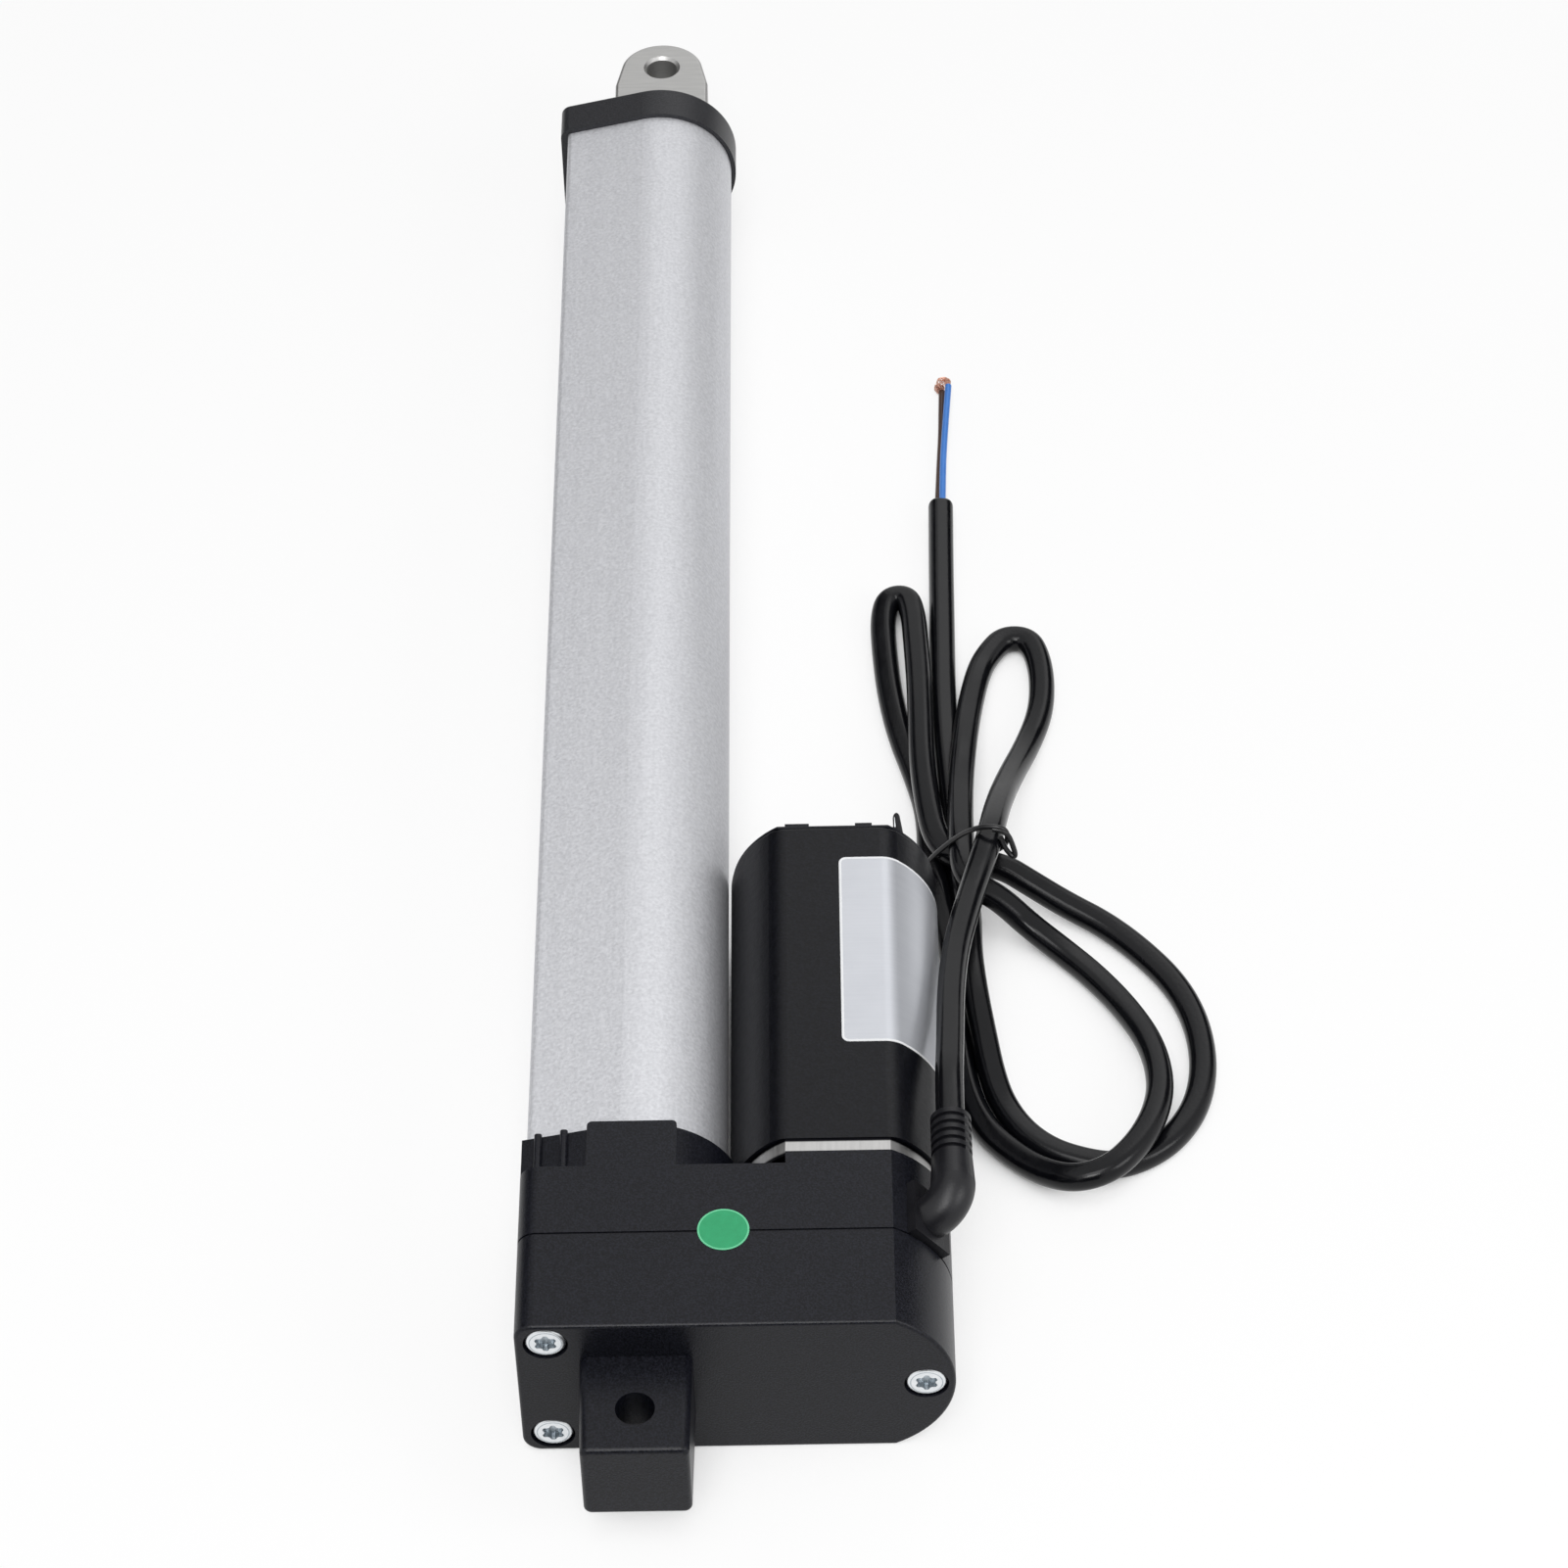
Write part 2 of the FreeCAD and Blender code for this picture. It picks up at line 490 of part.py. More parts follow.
def draw_teardrop(sketch, radius, flat):
    """The tube's section: an arc about the axis, two sloping sides and a flat on the left."""
    slope = math.radians(size.tube_slope.value)
    touch = FreeCAD.Vector(-radius.value * math.sin(slope), radius.value * math.cos(slope), 0)
    corner_up = (radius.value - flat.value * math.sin(slope)) / math.cos(slope)
    corner = FreeCAD.Vector(-flat.value, corner_up, 0)
    mirror = FreeCAD.Vector(1, -1, 1)
    touch_low = FreeCAD.Vector(touch.x * mirror.x, touch.y * mirror.y, 0)
    corner_low = FreeCAD.Vector(corner.x * mirror.x, corner.y * mirror.y, 0)
    arc = sketch.addGeometry(Part.Arc(touch_low, FreeCAD.Vector(radius.value, 0, 0), touch), False)
    top = sketch.addGeometry(Part.LineSegment(touch, corner), False)
    side = sketch.addGeometry(Part.LineSegment(corner, corner_low), False)
    bottom = sketch.addGeometry(Part.LineSegment(corner_low, touch_low), False)
    sketch.addConstraint(Sketcher.Constraint("Coincident", arc, 3, -1, 1))
    sketch.addConstraint(Sketcher.Constraint("Tangent", arc, 2, top, 1))
    sketch.addConstraint(Sketcher.Constraint("Tangent", arc, 1, bottom, 2))
    sketch.addConstraint(Sketcher.Constraint("Coincident", top, 2, side, 1))
    sketch.addConstraint(Sketcher.Constraint("Coincident", side, 2, bottom, 1))
    sketch.addConstraint(Sketcher.Constraint("Symmetric", side, 1, side, 2, -1))
    hold(sketch, ("Radius", arc), radius)
    hold(sketch, ("DistanceX", side, 1, -1, 1), flat)
    side_height = 2 * (radius - flat * sine(size.tube_slope)) / cosine(size.tube_slope)
    hold(sketch, ("DistanceY", side, 2, side, 1), side_height)


def draw_rounded_end(sketch, left, half_height, centre, radius):
    """A level-sided outline that ends in an arc about a centre on the right."""
    across = math.sqrt(radius.value ** 2 - half_height.value ** 2)
    top_right = FreeCAD.Vector(centre.value + across, half_height.value, 0)
    low_right = FreeCAD.Vector(centre.value + across, -half_height.value, 0)
    top_left = FreeCAD.Vector(left.value, half_height.value, 0)
    low_left = FreeCAD.Vector(left.value, -half_height.value, 0)
    end = FreeCAD.Vector(centre.value + radius.value, 0, 0)
    arc = sketch.addGeometry(Part.Arc(low_right, end, top_right), False)
    top = sketch.addGeometry(Part.LineSegment(top_right, top_left), False)
    side = sketch.addGeometry(Part.LineSegment(top_left, low_left), False)
    bottom = sketch.addGeometry(Part.LineSegment(low_left, low_right), False)
    for one, other in ((arc, top), (top, side), (side, bottom), (bottom, arc)):
        sketch.addConstraint(Sketcher.Constraint("Coincident", one, 2, other, 1))
    sketch.addConstraint(Sketcher.Constraint("Horizontal", top))
    sketch.addConstraint(Sketcher.Constraint("Horizontal", bottom))
    hold(sketch, ("Radius", arc), radius)
    hold_point(sketch, arc, 3, centre, 0)
    hold_point(sketch, side, 1, left, half_height)
    hold_point(sketch, side, 2, left, -half_height)


def draw_two_flats(sketch, radius, half_height):
    """A circle with a flat at its top and one at its bottom."""
    across = math.sqrt(radius.value ** 2 - half_height.value ** 2)
    quarters = ((1, -1), (1, 1), (-1, 1), (-1, -1))
    corners = [FreeCAD.Vector(x * across, z * half_height.value, 0) for x, z in quarters]
    right = sketch.addGeometry(Part.Arc(corners[0], FreeCAD.Vector(radius.value, 0, 0), corners[1]), False)
    top = sketch.addGeometry(Part.LineSegment(corners[1], corners[2]), False)
    left = sketch.addGeometry(Part.Arc(corners[2], FreeCAD.Vector(-radius.value, 0, 0), corners[3]), False)
    bottom = sketch.addGeometry(Part.LineSegment(corners[3], corners[0]), False)
    for one, other in ((right, top), (top, left), (left, bottom), (bottom, right)):
        sketch.addConstraint(Sketcher.Constraint("Coincident", one, 2, other, 1))
    for arc in (right, left):
        sketch.addConstraint(Sketcher.Constraint("Coincident", arc, 3, -1, 1))
        hold(sketch, ("Radius", arc), radius)
    for flat, length in ((top, half_height), (bottom, -half_height)):
        sketch.addConstraint(Sketcher.Constraint("Horizontal", flat))
        hold(sketch, ("DistanceY", -1, 1, flat, 1), length)


def extrude(kind, body, name, role, start, stop, draw):
    """Pad or pocket a sketch from one place to another along the normal of an origin plane."""
    away = role == "XZ_Plane"
    start, stop = as_length(start), as_length(stop)
    sketch = new_sketch(body, name, role, -start if away else start)
    draw(sketch)
    feature = body.newObject("PartDesign::" + kind, name)
    feature.Profile = sketch
    feature.setExpression("Length", (stop - start).text)
    feature.Reversed = away if kind == "Pad" else not away
    sketch.Visibility = False
    return feature


def add(body, name, start, stop, draw):
    """Material along Y."""
    return extrude("Pad", body, name, "XZ_Plane", start, stop, draw)


def cut(body, name, start, stop, draw):
    """A cut along Y, which must take something away."""
    return checked_cut(body, name, "XZ_Plane", start, stop, draw)


def cut_upright(body, name, start, stop, draw):
    """A cut along Z, which must take something away."""
    return checked_cut(body, name, "XY_Plane", start, stop, draw)


def checked_cut(body, name, role, start, stop, draw):
    doc.recompute()
    before = body.Shape.Volume
    feature = extrude("Pocket", body, name, role, start, stop, draw)
    doc.recompute()
    if not body.Shape.Volume < before - 1e-3:
        raise ValueError(f"{name} cuts nothing from {body.Label}")
    return feature


def repeat(body, feature, count):
    """Repeat a feature round the body's own Y axis."""
    pattern = body.newObject("PartDesign::PolarPattern", feature.Name + "_pattern")
    pattern.Originals = [feature]
    axis = [item for item in body.Origin.OriginFeatures if item.Role == "Y_Axis"][0]
    pattern.Axis = (axis, [""])
    pattern.Angle = 360
    pattern.Occurrences = count
    body.Tip = pattern
    return pattern


def round_edges(body, name, radius, chosen, kind="Fillet"):
    """Fillet or chamfer the edges of the body so far that are chosen."""
    doc.recompute()
    base = body.Tip
    names = [f"Edge{index}" for index, edge in enumerate(base.Shape.Edges, start=1) if chosen(edge)]
    if not names:
        raise ValueError(f"{name} finds no edge")
    feature = body.newObject("PartDesign::" + kind, name)
    feature.Base = (base, names)
    feature.setExpression("Radius" if kind == "Fillet" else "Size", radius.text)
    return feature


def near(value, length):
    return abs(value - as_length(length).value) < 1e-4


def runs_along(edge, axis):
    """Whether an edge is straight along an axis of the frame."""
    if edge.Curve.TypeId != "Part::GeomLine":
        return False
    return abs(getattr(edge.Curve.Direction, axis)) > 0.999


def lies_at(edge, axis, length):
    """Whether a whole edge lies at one place along an axis."""
    box = edge.BoundBox
    low, high = getattr(box, axis.upper() + "Min"), getattr(box, axis.upper() + "Max")
    return abs(low - as_length(length).value) < 1e-3 and abs(high - as_length(length).value) < 1e-3


def turn(name, profile, x=None, z=None):
    """A turned piece: radius and place pairs, revolved about an axis along Y."""
    body = new_body(name)
    sketch = new_sketch(body, name, "XY_Plane")
    draw_outline(sketch, profile)
    feature = body.newObject("PartDesign::Revolution", name + "_turned")
    feature.Profile = sketch
    feature.ReferenceAxis = (sketch, ["V_Axis"])
    feature.Angle = 360
    sketch.Visibility = False
    return move(body, x=x, z=z)


def turned_ring(name, inner, outer, start, stop, x=None, z=None):
    return turn(name, [(inner, start), (outer, start), (outer, stop), (inner, stop)], x, z)


def turned_pin(name, radius, start, stop, x=None, z=None):
    return turn(name, [(0, start), (radius, start), (radius, stop), (0, stop)], x, z)


def group(name, parts):
    """Several like pieces in one node."""
    compound = doc.addObject("Part::Compound", name)
    compound.Links = parts
    return node(name, compound)


def gearbox_outline(inset):
    def draw(sketch):
        draw_rounded_end(
            sketch,
            inset - size.case_left,
            case_half_height - inset,
            motor_x,
            case_end_radius - inset,
        )
    return draw


def outline_corners(inset):
    """Picks the two upright corners on the left of a gearbox outline."""
    def chosen(edge):
        box = edge.BoundBox
        on_left = near(box.XMin, inset - size.case_left) and near(box.XMax, inset - size.case_left)
        at_height = near(abs(box.ZMin), case_half_height - inset) and near(box.ZMin, box.ZMax)
        return runs_along(edge, "y") and on_left and at_height
    return chosen


def circles(places, radius):
    def draw(sketch):
        for across, up in places:
            draw_circle(sketch, across, up, radius)
    return draw


def rear_cover():
    """Moulded cover with the fixed tang, the bearing's seat and one end of the idler axle."""
    body = node("gearbox_rear_cover", new_body("gearbox_rear_cover"))
    add(body, "cover_shell", size.rear_face, cover_front, gearbox_outline(as_length(0)))
    round_edges(body, "cover_corners", size.case_corner, outline_corners(as_length(0)))
    round_edges(
        body, "cover_rear_edge", size.case_edge_round, lambda edge: lies_at(edge, "y", size.rear_face)
    )
    cut(body, "cover_cavity", cavity_rear, cover_front, gearbox_outline(size.case_wall))
    boss_front = bearing_front + 2 * size.ring_thickness
    boss_rear = cavity_rear - size.joint_overlap
    add(body, "bearing_boss", boss_rear, boss_front, circles([(0, 0)], bearing_boss))
    add(body, "cover_screw_bosses", boss_rear, cover_front, circles(cover_screws, screw_boss))
    axle_boss_front = size.idler_rear - size.axle_boss_gap
    add(body, "rear_axle_boss", boss_rear, axle_boss_front, circles([(idler_x, 0)], size.axle_boss_radius))

    def draw_tang(sketch):
        root = size.rear_face + size.joint_overlap
        draw_outline(sketch, [
            (-size.tang_end_width / 2, -size.tang_reach),
            (size.tang_end_width / 2, -size.tang_reach),
            (size.tang_root_width / 2, root),
            (-size.tang_root_width / 2, root),
        ])

    extrude("Pad", body, "tang", "XY_Plane", -size.tang_thickness / 2, size.tang_thickness / 2, draw_tang)

    def long_edge(edge):
        box = edge.BoundBox
        at_face = near(abs(box.ZMin), size.tang_thickness / 2) and near(box.ZMin, box.ZMax)
        from_end_to_root = near(box.YMin, -size.tang_reach) and near(box.YMax, size.rear_face)
        return at_face and from_end_to_root

    def end_edge(edge):
        return lies_at(edge, "y", -size.tang_reach)

    round_edges(body, "tang_long_edges", size.tang_round, long_edge)
    round_edges(body, "tang_end_edges", size.tang_end_round, end_edge)
    cut_upright(
        body, "rear_mount_hole", -size.tang_thickness, size.tang_thickness,
        circles([(0, 0)], size.mount_hole_radius),
    )
    seat = size.bearing_radius + size.seat_clearance
    cut(body, "bearing_seat", bearing_rear, boss_front, circles([(0, 0)], seat))
    ring_rear = bearing_front + size.ring_gap
    cut(
        body, "bearing_ring_groove", ring_rear, ring_rear + size.ring_thickness + size.ring_gap,
        circles([(0, 0)], seat + size.ring_groove),
    )
    cut(
        body, "screw_end_recess", size.rear_face - size.screw_end_room, bearing_rear,
        circles([(0, 0)], size.journal_radius + size.screw_end_gap),
    )
    cut(
        body, "rear_axle_hole", size.rear_face + size.axle_floor, axle_boss_front,
        circles([(idler_x, 0)], size.axle_radius + size.seat_clearance),
    )
    recess = size.cover_head_radius + size.cover_recess_gap
    cut(
        body, "cover_screw_recesses", size.rear_face, size.rear_face + size.cover_recess_depth,
        circles(cover_screws, recess),
    )
    cut(
        body, "cover_screw_holes", size.rear_face, cover_front,
        circles(cover_screws, size.cover_screw_radius + 2 * size.seat_clearance),
    )


def front_housing():
    """Moulded housing: gear cavity, collar for the tube, platform for the motor and the cord's seat."""
    body = node("gearbox_front_housing", new_body("gearbox_front_housing"))
    add(body, "housing_shell", housing_rear, size.case_front, gearbox_outline(as_length(0)))
    round_edges(body, "housing_corners", size.case_corner, outline_corners(as_length(0)))
    step_rear = size.case_front - size.joint_overlap
    add(
        body, "motor_platform", step_rear, size.platform_front,
        lambda sketch: draw_rounded_end(
            sketch, size.platform_left, case_half_height, motor_x, case_end_radius
        ),
    )
    add(
        body, "collar", step_rear, size.collar_front,
        lambda sketch: draw_teardrop(sketch, size.collar_radius, size.case_left),
    )
    if size.collar_radius.value > case_half_height.value:
        past_collar = size.collar_radius + CUT_BEYOND
        for name, low, high in (
            ("collar_top", case_half_height, past_collar),
            ("collar_bottom", -past_collar, -case_half_height),
        ):
            cut_upright(
                body, name, low, high,
                lambda sketch: draw_box(sketch, -size.tab_left, step_rear, size.tab_right, size.tab_front),
            )
    add(
        body, "collar_tabs", step_rear, size.tab_front,
        lambda sketch: draw_box(sketch, -size.tab_left, -case_half_height, size.tab_right, case_half_height),
    )
    round_edges(
        body, "tab_corners", size.tab_round,
        lambda edge: runs_along(edge, "z") and lies_at(edge, "y", size.tab_front),
    )
    ribs = []
    for index in range(int(size.rib_count.value)):
        middle = -size.rib_first - index * size.rib_pitch
        slope_up = (size.collar_radius + middle * sine(size.tube_slope)) / cosine(size.tube_slope)
        ribs.append((middle - size.rib_width / 2, middle + size.rib_width / 2, slope_up))

    def draw_ribs(sketch):
        for left, right, slope_up in ribs:
            draw_box(sketch, left, slope_up - size.rib_root, right, slope_up + size.rib_height)
            draw_box(sketch, left, -slope_up - size.rib_height, right, size.rib_root - slope_up)

    def rib_edge(edge):
        height = abs(edge.BoundBox.ZMin)
        return runs_along(edge, "y") and any(near(height, up + size.rib_height) for _, _, up in ribs)

    add(body, "collar_ribs", step_rear, size.collar_front, draw_ribs)
    round_edges(body, "rib_edges", size.rib_round, rib_edge)
    cut(
        body, "tube_socket", size.case_front, size.tab_front,
        lambda sketch: draw_teardrop(
            sketch, size.tube_radius + size.seat_clearance, size.tube_flat + size.seat_clearance
        ),
    )
    extrude(
        "Pocket", body, "motor_clearance", "XZ_Plane", size.platform_front, size.tab_front,
        circles([(motor_x, 0)], size.motor_radius + size.motor_side_gap),
    )
    cut(body, "housing_cavity", housing_rear, cavity_front, gearbox_outline(size.case_wall))
    boss_front = cavity_front + size.joint_overlap
    add(body, "housing_screw_bosses", housing_rear, boss_front, circles(cover_screws, screw_boss))
    axle_boss_rear = size.idler_front + size.axle_boss_gap
    add(
        body, "front_axle_boss", axle_boss_rear, boss_front,
        circles([(idler_x, 0)], size.axle_boss_radius),
    )
    add(
        body, "screw_bush_boss", screw_bush_rear, boss_front,
        circles([(0, 0)], screw_bush_radius + size.screw_bush_boss_wall),
    )
    cut(
        body, "front_axle_hole", axle_boss_rear, size.case_front - size.axle_floor,
        circles([(idler_x, 0)], size.axle_radius + size.seat_clearance),
    )
    cut(
        body, "screw_bush_hole", screw_bush_rear, size.case_front,
        circles([(0, 0)], screw_bush_radius + size.seat_clearance),
    )
    cut(
        body, "pinion_hole", cavity_front, size.platform_front,
        circles([(motor_x, 0)], size.first_module * size.motor_pinion_teeth / 2 + size.pinion_hole_gap),
    )
    motor_screws = [(motor_x, size.motor_screw_spread), (motor_x, -size.motor_screw_spread)]
    cut(
        body, "motor_screw_holes", cavity_front, size.platform_front,
        circles(motor_screws, size.motor_screw_radius + 2 * size.seat_clearance),
    )
    cut(
        body, "cover_screw_sockets", housing_rear, cavity_front,
        circles(cover_screws, size.cover_screw_radius + size.seat_clearance),
    )

    half_width = size.relief_width / 2 + size.seat_clearance
    past_case = case_end_radius + CUT_BEYOND

    def seat_corner(radial, sideways):
        across = motor_x + radial * relief_across - sideways * relief_up
        up = radial * relief_up + sideways * relief_across
        return across, up

    def draw_seat(sketch):
        draw_outline(sketch, [
            seat_corner(relief_seat, -half_width),
            seat_corner(past_case, -half_width),
            seat_corner(past_case, half_width),
            seat_corner(relief_seat, half_width),
        ])

    seat_front = housing_rear + size.relief_length + size.seat_clearance
    cut(body, "relief_seat", housing_rear, seat_front, draw_seat)


def gasket():
    """Flat gasket between the two mouldings."""
    body = node("housing_gasket", new_body("housing_gasket"))
    add(body, "gasket_sheet", cover_front, housing_rear, gearbox_outline(size.gasket_inset))
    round_edges(
        body, "gasket_corners", size.case_corner - size.gasket_inset, outline_corners(size.gasket_inset)
    )
    cut(body, "gasket_window", cover_front, housing_rear, gearbox_outline(size.case_wall))
    add(body, "gasket_eyes", cover_front, housing_rear, circles(cover_screws, screw_boss))
    cut(
        body, "gasket_holes", cover_front, housing_rear,
        circles(cover_screws, size.cover_screw_radius + 2 * size.seat_clearance),
    )


def screws():
    """Cover screws, cap screws and motor screws, each a plain shank with its head."""
    head_rear = size.rear_face + size.cover_recess_depth - size.cover_head_height
    head_front = size.rear_face + size.cover_recess_depth
    socket_floor = head_rear + size.cover_socket_depth
    screw_end = cavity_front - size.screw_end_stop
    profile = [
        (0, socket_floor),
        (size.cover_screw_radius, socket_floor),
        (size.cover_screw_radius, head_rear),
        (size.cover_head_radius - size.cover_head_edge, head_rear),
        (size.cover_head_radius, head_rear + size.cover_head_edge),
        (size.cover_head_radius, head_front),
        (size.cover_screw_radius, head_front),
        (size.cover_screw_radius, screw_end),
        (0, screw_end),
    ]
    group("cover_screws", [
        turn(f"cover_screw_{number}", profile, across, up)
        for number, (across, up) in enumerate(cover_screws, start=1)
    ])

    cap_profile = [
        (0, cap_front - size.cap_screw_length),
        (size.cap_screw_radius, cap_front - size.cap_screw_length),
        (size.cap_screw_radius, cap_front - size.cap_head_height),
        (size.cap_head_radius, cap_front - size.cap_head_edge),
        (size.cap_head_radius, cap_front),
        (0, cap_front),
    ]
    group("cap_screws", [
        turn(f"cap_screw_{number}", cap_profile, across, up)
        for number, (across, up) in enumerate(screw_ports, start=1)
    ])

    motor_head_rear = cavity_front - size.motor_head_height
    motor_head_radius = size.motor_screw_radius + size.motor_head_width
    motor_profile = [
        (0, motor_head_rear),
        (motor_head_radius, motor_head_rear),
        (motor_head_radius, cavity_front),
        (size.motor_screw_radius, cavity_front),
        (size.motor_screw_radius, motor_plate_front),
        (0, motor_plate_front),
    ]
    group("motor_screws", [
        turn(f"motor_screw_{number}", motor_profile, motor_x, side * size.motor_screw_spread)
        for number, side in enumerate((1, -1), start=1)
    ])


def outer_tube():
    """Extruded aluminium tube: bore for the nut, channel for the switches, two screw ports."""
    body = node("outer_tube", new_body("outer_tube"))
    add(
        body, "tube_section", size.case_front, tube_end,
        lambda sketch: draw_teardrop(sketch, size.tube_radius, size.tube_flat),
    )

    def corner(edge):
        return runs_along(edge, "y") and near(edge.BoundBox.XMin, -size.tube_flat)

    round_edges(body, "tube_corners", size.tube_corner, corner)
    cut(body, "tube_bore", size.case_front, tube_end, circles([(0, 0)], size.tube_bore))
    cut(
        body, "switch_channel", size.case_front, tube_end,
        lambda sketch: draw_box(
            sketch, -channel_floor, -size.channel_half_height, -size.tube_bore / 2, size.channel_half_height
        ),
    )
    port_radius = size.cap_screw_radius + size.seat_clearance
    cut(body, "screw_ports", size.case_front, tube_end, circles(screw_ports, port_radius))


def front_cap():
    """Moulded cap over the tube's end, with its guide bush and wiper seal."""
    body = node("front_cap", new_body("front_cap"))
    rim = size.cap_rim
    cap_flat = size.tube_flat + size.cap_flat_rim
    add(
        body, "cap_shell", cap_rear, cap_front,
        lambda sketch: draw_teardrop(sketch, size.tube_radius + rim, cap_flat),
    )

    def corner(edge):
        return runs_along(edge, "y") and near(edge.BoundBox.XMin, -cap_flat)

    round_edges(body, "cap_corners", size.tube_corner + rim, corner)
    round_edges(body, "cap_front_edge", size.cap_round, lambda edge: lies_at(edge, "y", cap_front))
    cut(
        body, "cap_socket", cap_rear, tube_end,
        lambda sketch: draw_teardrop(
            sketch, size.tube_radius + size.seat_clearance, size.tube_flat + size.seat_clearance
        ),
    )
    wiper_outer = size.rod_radius + size.wiper_depth
    cut(body, "cap_rod_hole", tube_end, cap_front, circles([(0, 0)], size.rod_radius + size.cap_rod_gap))
    cut(
        body, "wiper_seat", cap_front - size.wiper_width, cap_front,
        circles([(0, 0)], wiper_outer + size.seat_clearance),
    )
    cut(
        body, "cap_screw_holes", tube_end, cap_front,
        circles(screw_ports, size.cap_screw_radius + 2 * size.seat_clearance),
    )
    cut(
        body, "cap_screw_heads", cap_front - size.cap_head_height, cap_front,
        circles(screw_ports, size.cap_head_radius + 2 * size.seat_clearance),
    )

    rod_hole = size.rod_radius + size.running_clearance
    guide_outer = size.tube_bore - size.seat_clearance
    node("rod_guide_bush", turned_ring("rod_guide_bush", rod_hole, guide_outer, guide_rear, tube_end))
    node("rod_wiper_seal", turn("rod_wiper_seal", [
        (rod_hole + size.wiper_relief, cap_front - size.wiper_width),
        (wiper_outer, cap_front - size.wiper_width),
        (wiper_outer, cap_front),
        (rod_hole + size.wiper_lip_width, cap_front),
        (rod_hole, cap_front + size.wiper_lip),
        (rod_hole, cap_front - size.wiper_lip_width),
    ]))


def push_rod():
    """Push rod, its eye and nut, and the pins that hold them."""
    node("extension_rod", turned_ring(
        "extension_rod", size.rod_bore, size.rod_radius, nut_shoulder, rod_front
    ))

    flat_rear = cap_front + size.eye_plain_length
    eye = node("rod_end_eye", turn("rod_end_eye", [
        (0, eye_rear),
        (size.rod_bore - size.seat_clearance, eye_rear),
        (size.rod_bore - size.seat_clearance, rod_front),
        (size.rod_radius, rod_front),
        (size.rod_radius, flat_rear),
        (0, flat_rear),
    ]))

    def draw_tongue(sketch):
        """Straight sides, two tapers and a round nose that they touch."""
        width, rear = size.eye_half_width, flat_rear
        shoulder = front_hole - size.eye_shoulder
        centre = front_hole + size.eye_nose - size.eye_nose_radius
        back_off = centre.value - shoulder.value
        reach = math.hypot(width.value, back_off)
        touch = math.acos(size.eye_nose_radius.value / reach) - math.atan2(back_off, width.value)
        touch_x = size.eye_nose_radius.value * math.cos(touch)
        touch_y = centre.value + size.eye_nose_radius.value * math.sin(touch)
        outline = [
            (-touch_x, touch_y), (-width.value, shoulder.value), (-width.value, rear.value),
            (width.value, rear.value), (width.value, shoulder.value), (touch_x, touch_y),
        ]
        corners = [FreeCAD.Vector(x, y, 0) for x, y in outline]
        tip = FreeCAD.Vector(0, centre.value + size.eye_nose_radius.value, 0)
        arc = sketch.addGeometry(Part.Arc(corners[-1], tip, corners[0]), False)
        lines = [
            sketch.addGeometry(Part.LineSegment(first, second), False)
            for first, second in zip(corners, corners[1:])
        ]
        for one, other in zip(lines, lines[1:]):
            sketch.addConstraint(Sketcher.Constraint("Coincident", one, 2, other, 1))
        sketch.addConstraint(Sketcher.Constraint("Tangent", arc, 2, lines[0], 1))
        sketch.addConstraint(Sketcher.Constraint("Tangent", lines[-1], 2, arc, 1))
        held = [(-width, shoulder), (-width, rear), (width, rear), (width, shoulder)]
        for line, (x, y) in zip(lines, held):
            hold_point(sketch, line, 2, x, y)
        hold_point(sketch, arc, 3, 0, centre)
        hold(sketch, ("Radius", arc), size.eye_nose_radius)

    half_thickness = size.eye_half_thickness
    extrude("Pad", eye, "eye_tongue", "XY_Plane", -half_thickness, half_thickness, draw_tongue)

    def long_edge(edge):
        level = near(abs(edge.BoundBox.ZMin), half_thickness) and near(edge.BoundBox.ZMin, edge.BoundBox.ZMax)
        return level and not lies_at(edge, "y", flat_rear)

    round_edges(eye, "eye_long_edges", size.eye_edge_round, long_edge)
    cut_upright(
        eye, "front_mount_hole", -half_thickness, half_thickness,
        circles([(0, front_hole)], size.mount_hole_radius),
    )

    def hole_rim(edge):
        if edge.Curve.TypeId != "Part::GeomCircle" or not near(edge.Curve.Radius, size.mount_hole_radius):
            return False
        return near(abs(edge.BoundBox.ZMin), half_thickness)

    round_edges(eye, "eye_hole_edges", size.eye_chamfer, hole_rim, "Chamfer")
    pin_y = eye_rear + size.eye_spigot_length / 2
    pin_hole = size.nut_pin_radius + size.seat_clearance
    reach = size.rod_radius + CUT_BEYOND
    cut_upright(eye, "eye_pin_hole", -reach, reach, circles([(0, pin_y)], pin_hole))

    thread_hole = size.screw_radius + size.running_clearance
    nut = node("drive_nut", turn("drive_nut", [
        (thread_hole, size.nut_rear),
        (size.tube_bore - size.running_clearance, size.nut_rear),
        (size.tube_bore - size.running_clearance, nut_shoulder),
        (size.rod_bore - size.seat_clearance, nut_shoulder),
        (size.rod_bore - size.seat_clearance, nut_front),
        (thread_hole, nut_front),
    ]))
    key_half = size.channel_half_height - size.running_clearance
    add(
        nut, "nut_key", size.nut_rear, nut_shoulder,
        lambda sketch: draw_box(
            sketch, -size.nut_key_reach, -key_half, size.nut_key_root - size.tube_bore, key_half
        ),
    )
    nut_pin_y = nut_shoulder + size.nut_spigot_length / 2
    rod = nodes["extension_rod"]
    for piece, name, place in (
        (rod, "rod_nut_pin_hole", nut_pin_y),
        (rod, "rod_eye_pin_hole", pin_y),
        (nut, "nut_pin_hole", nut_pin_y),
    ):
        cut_upright(piece, name, -reach, reach, circles([(0, place)], pin_hole))

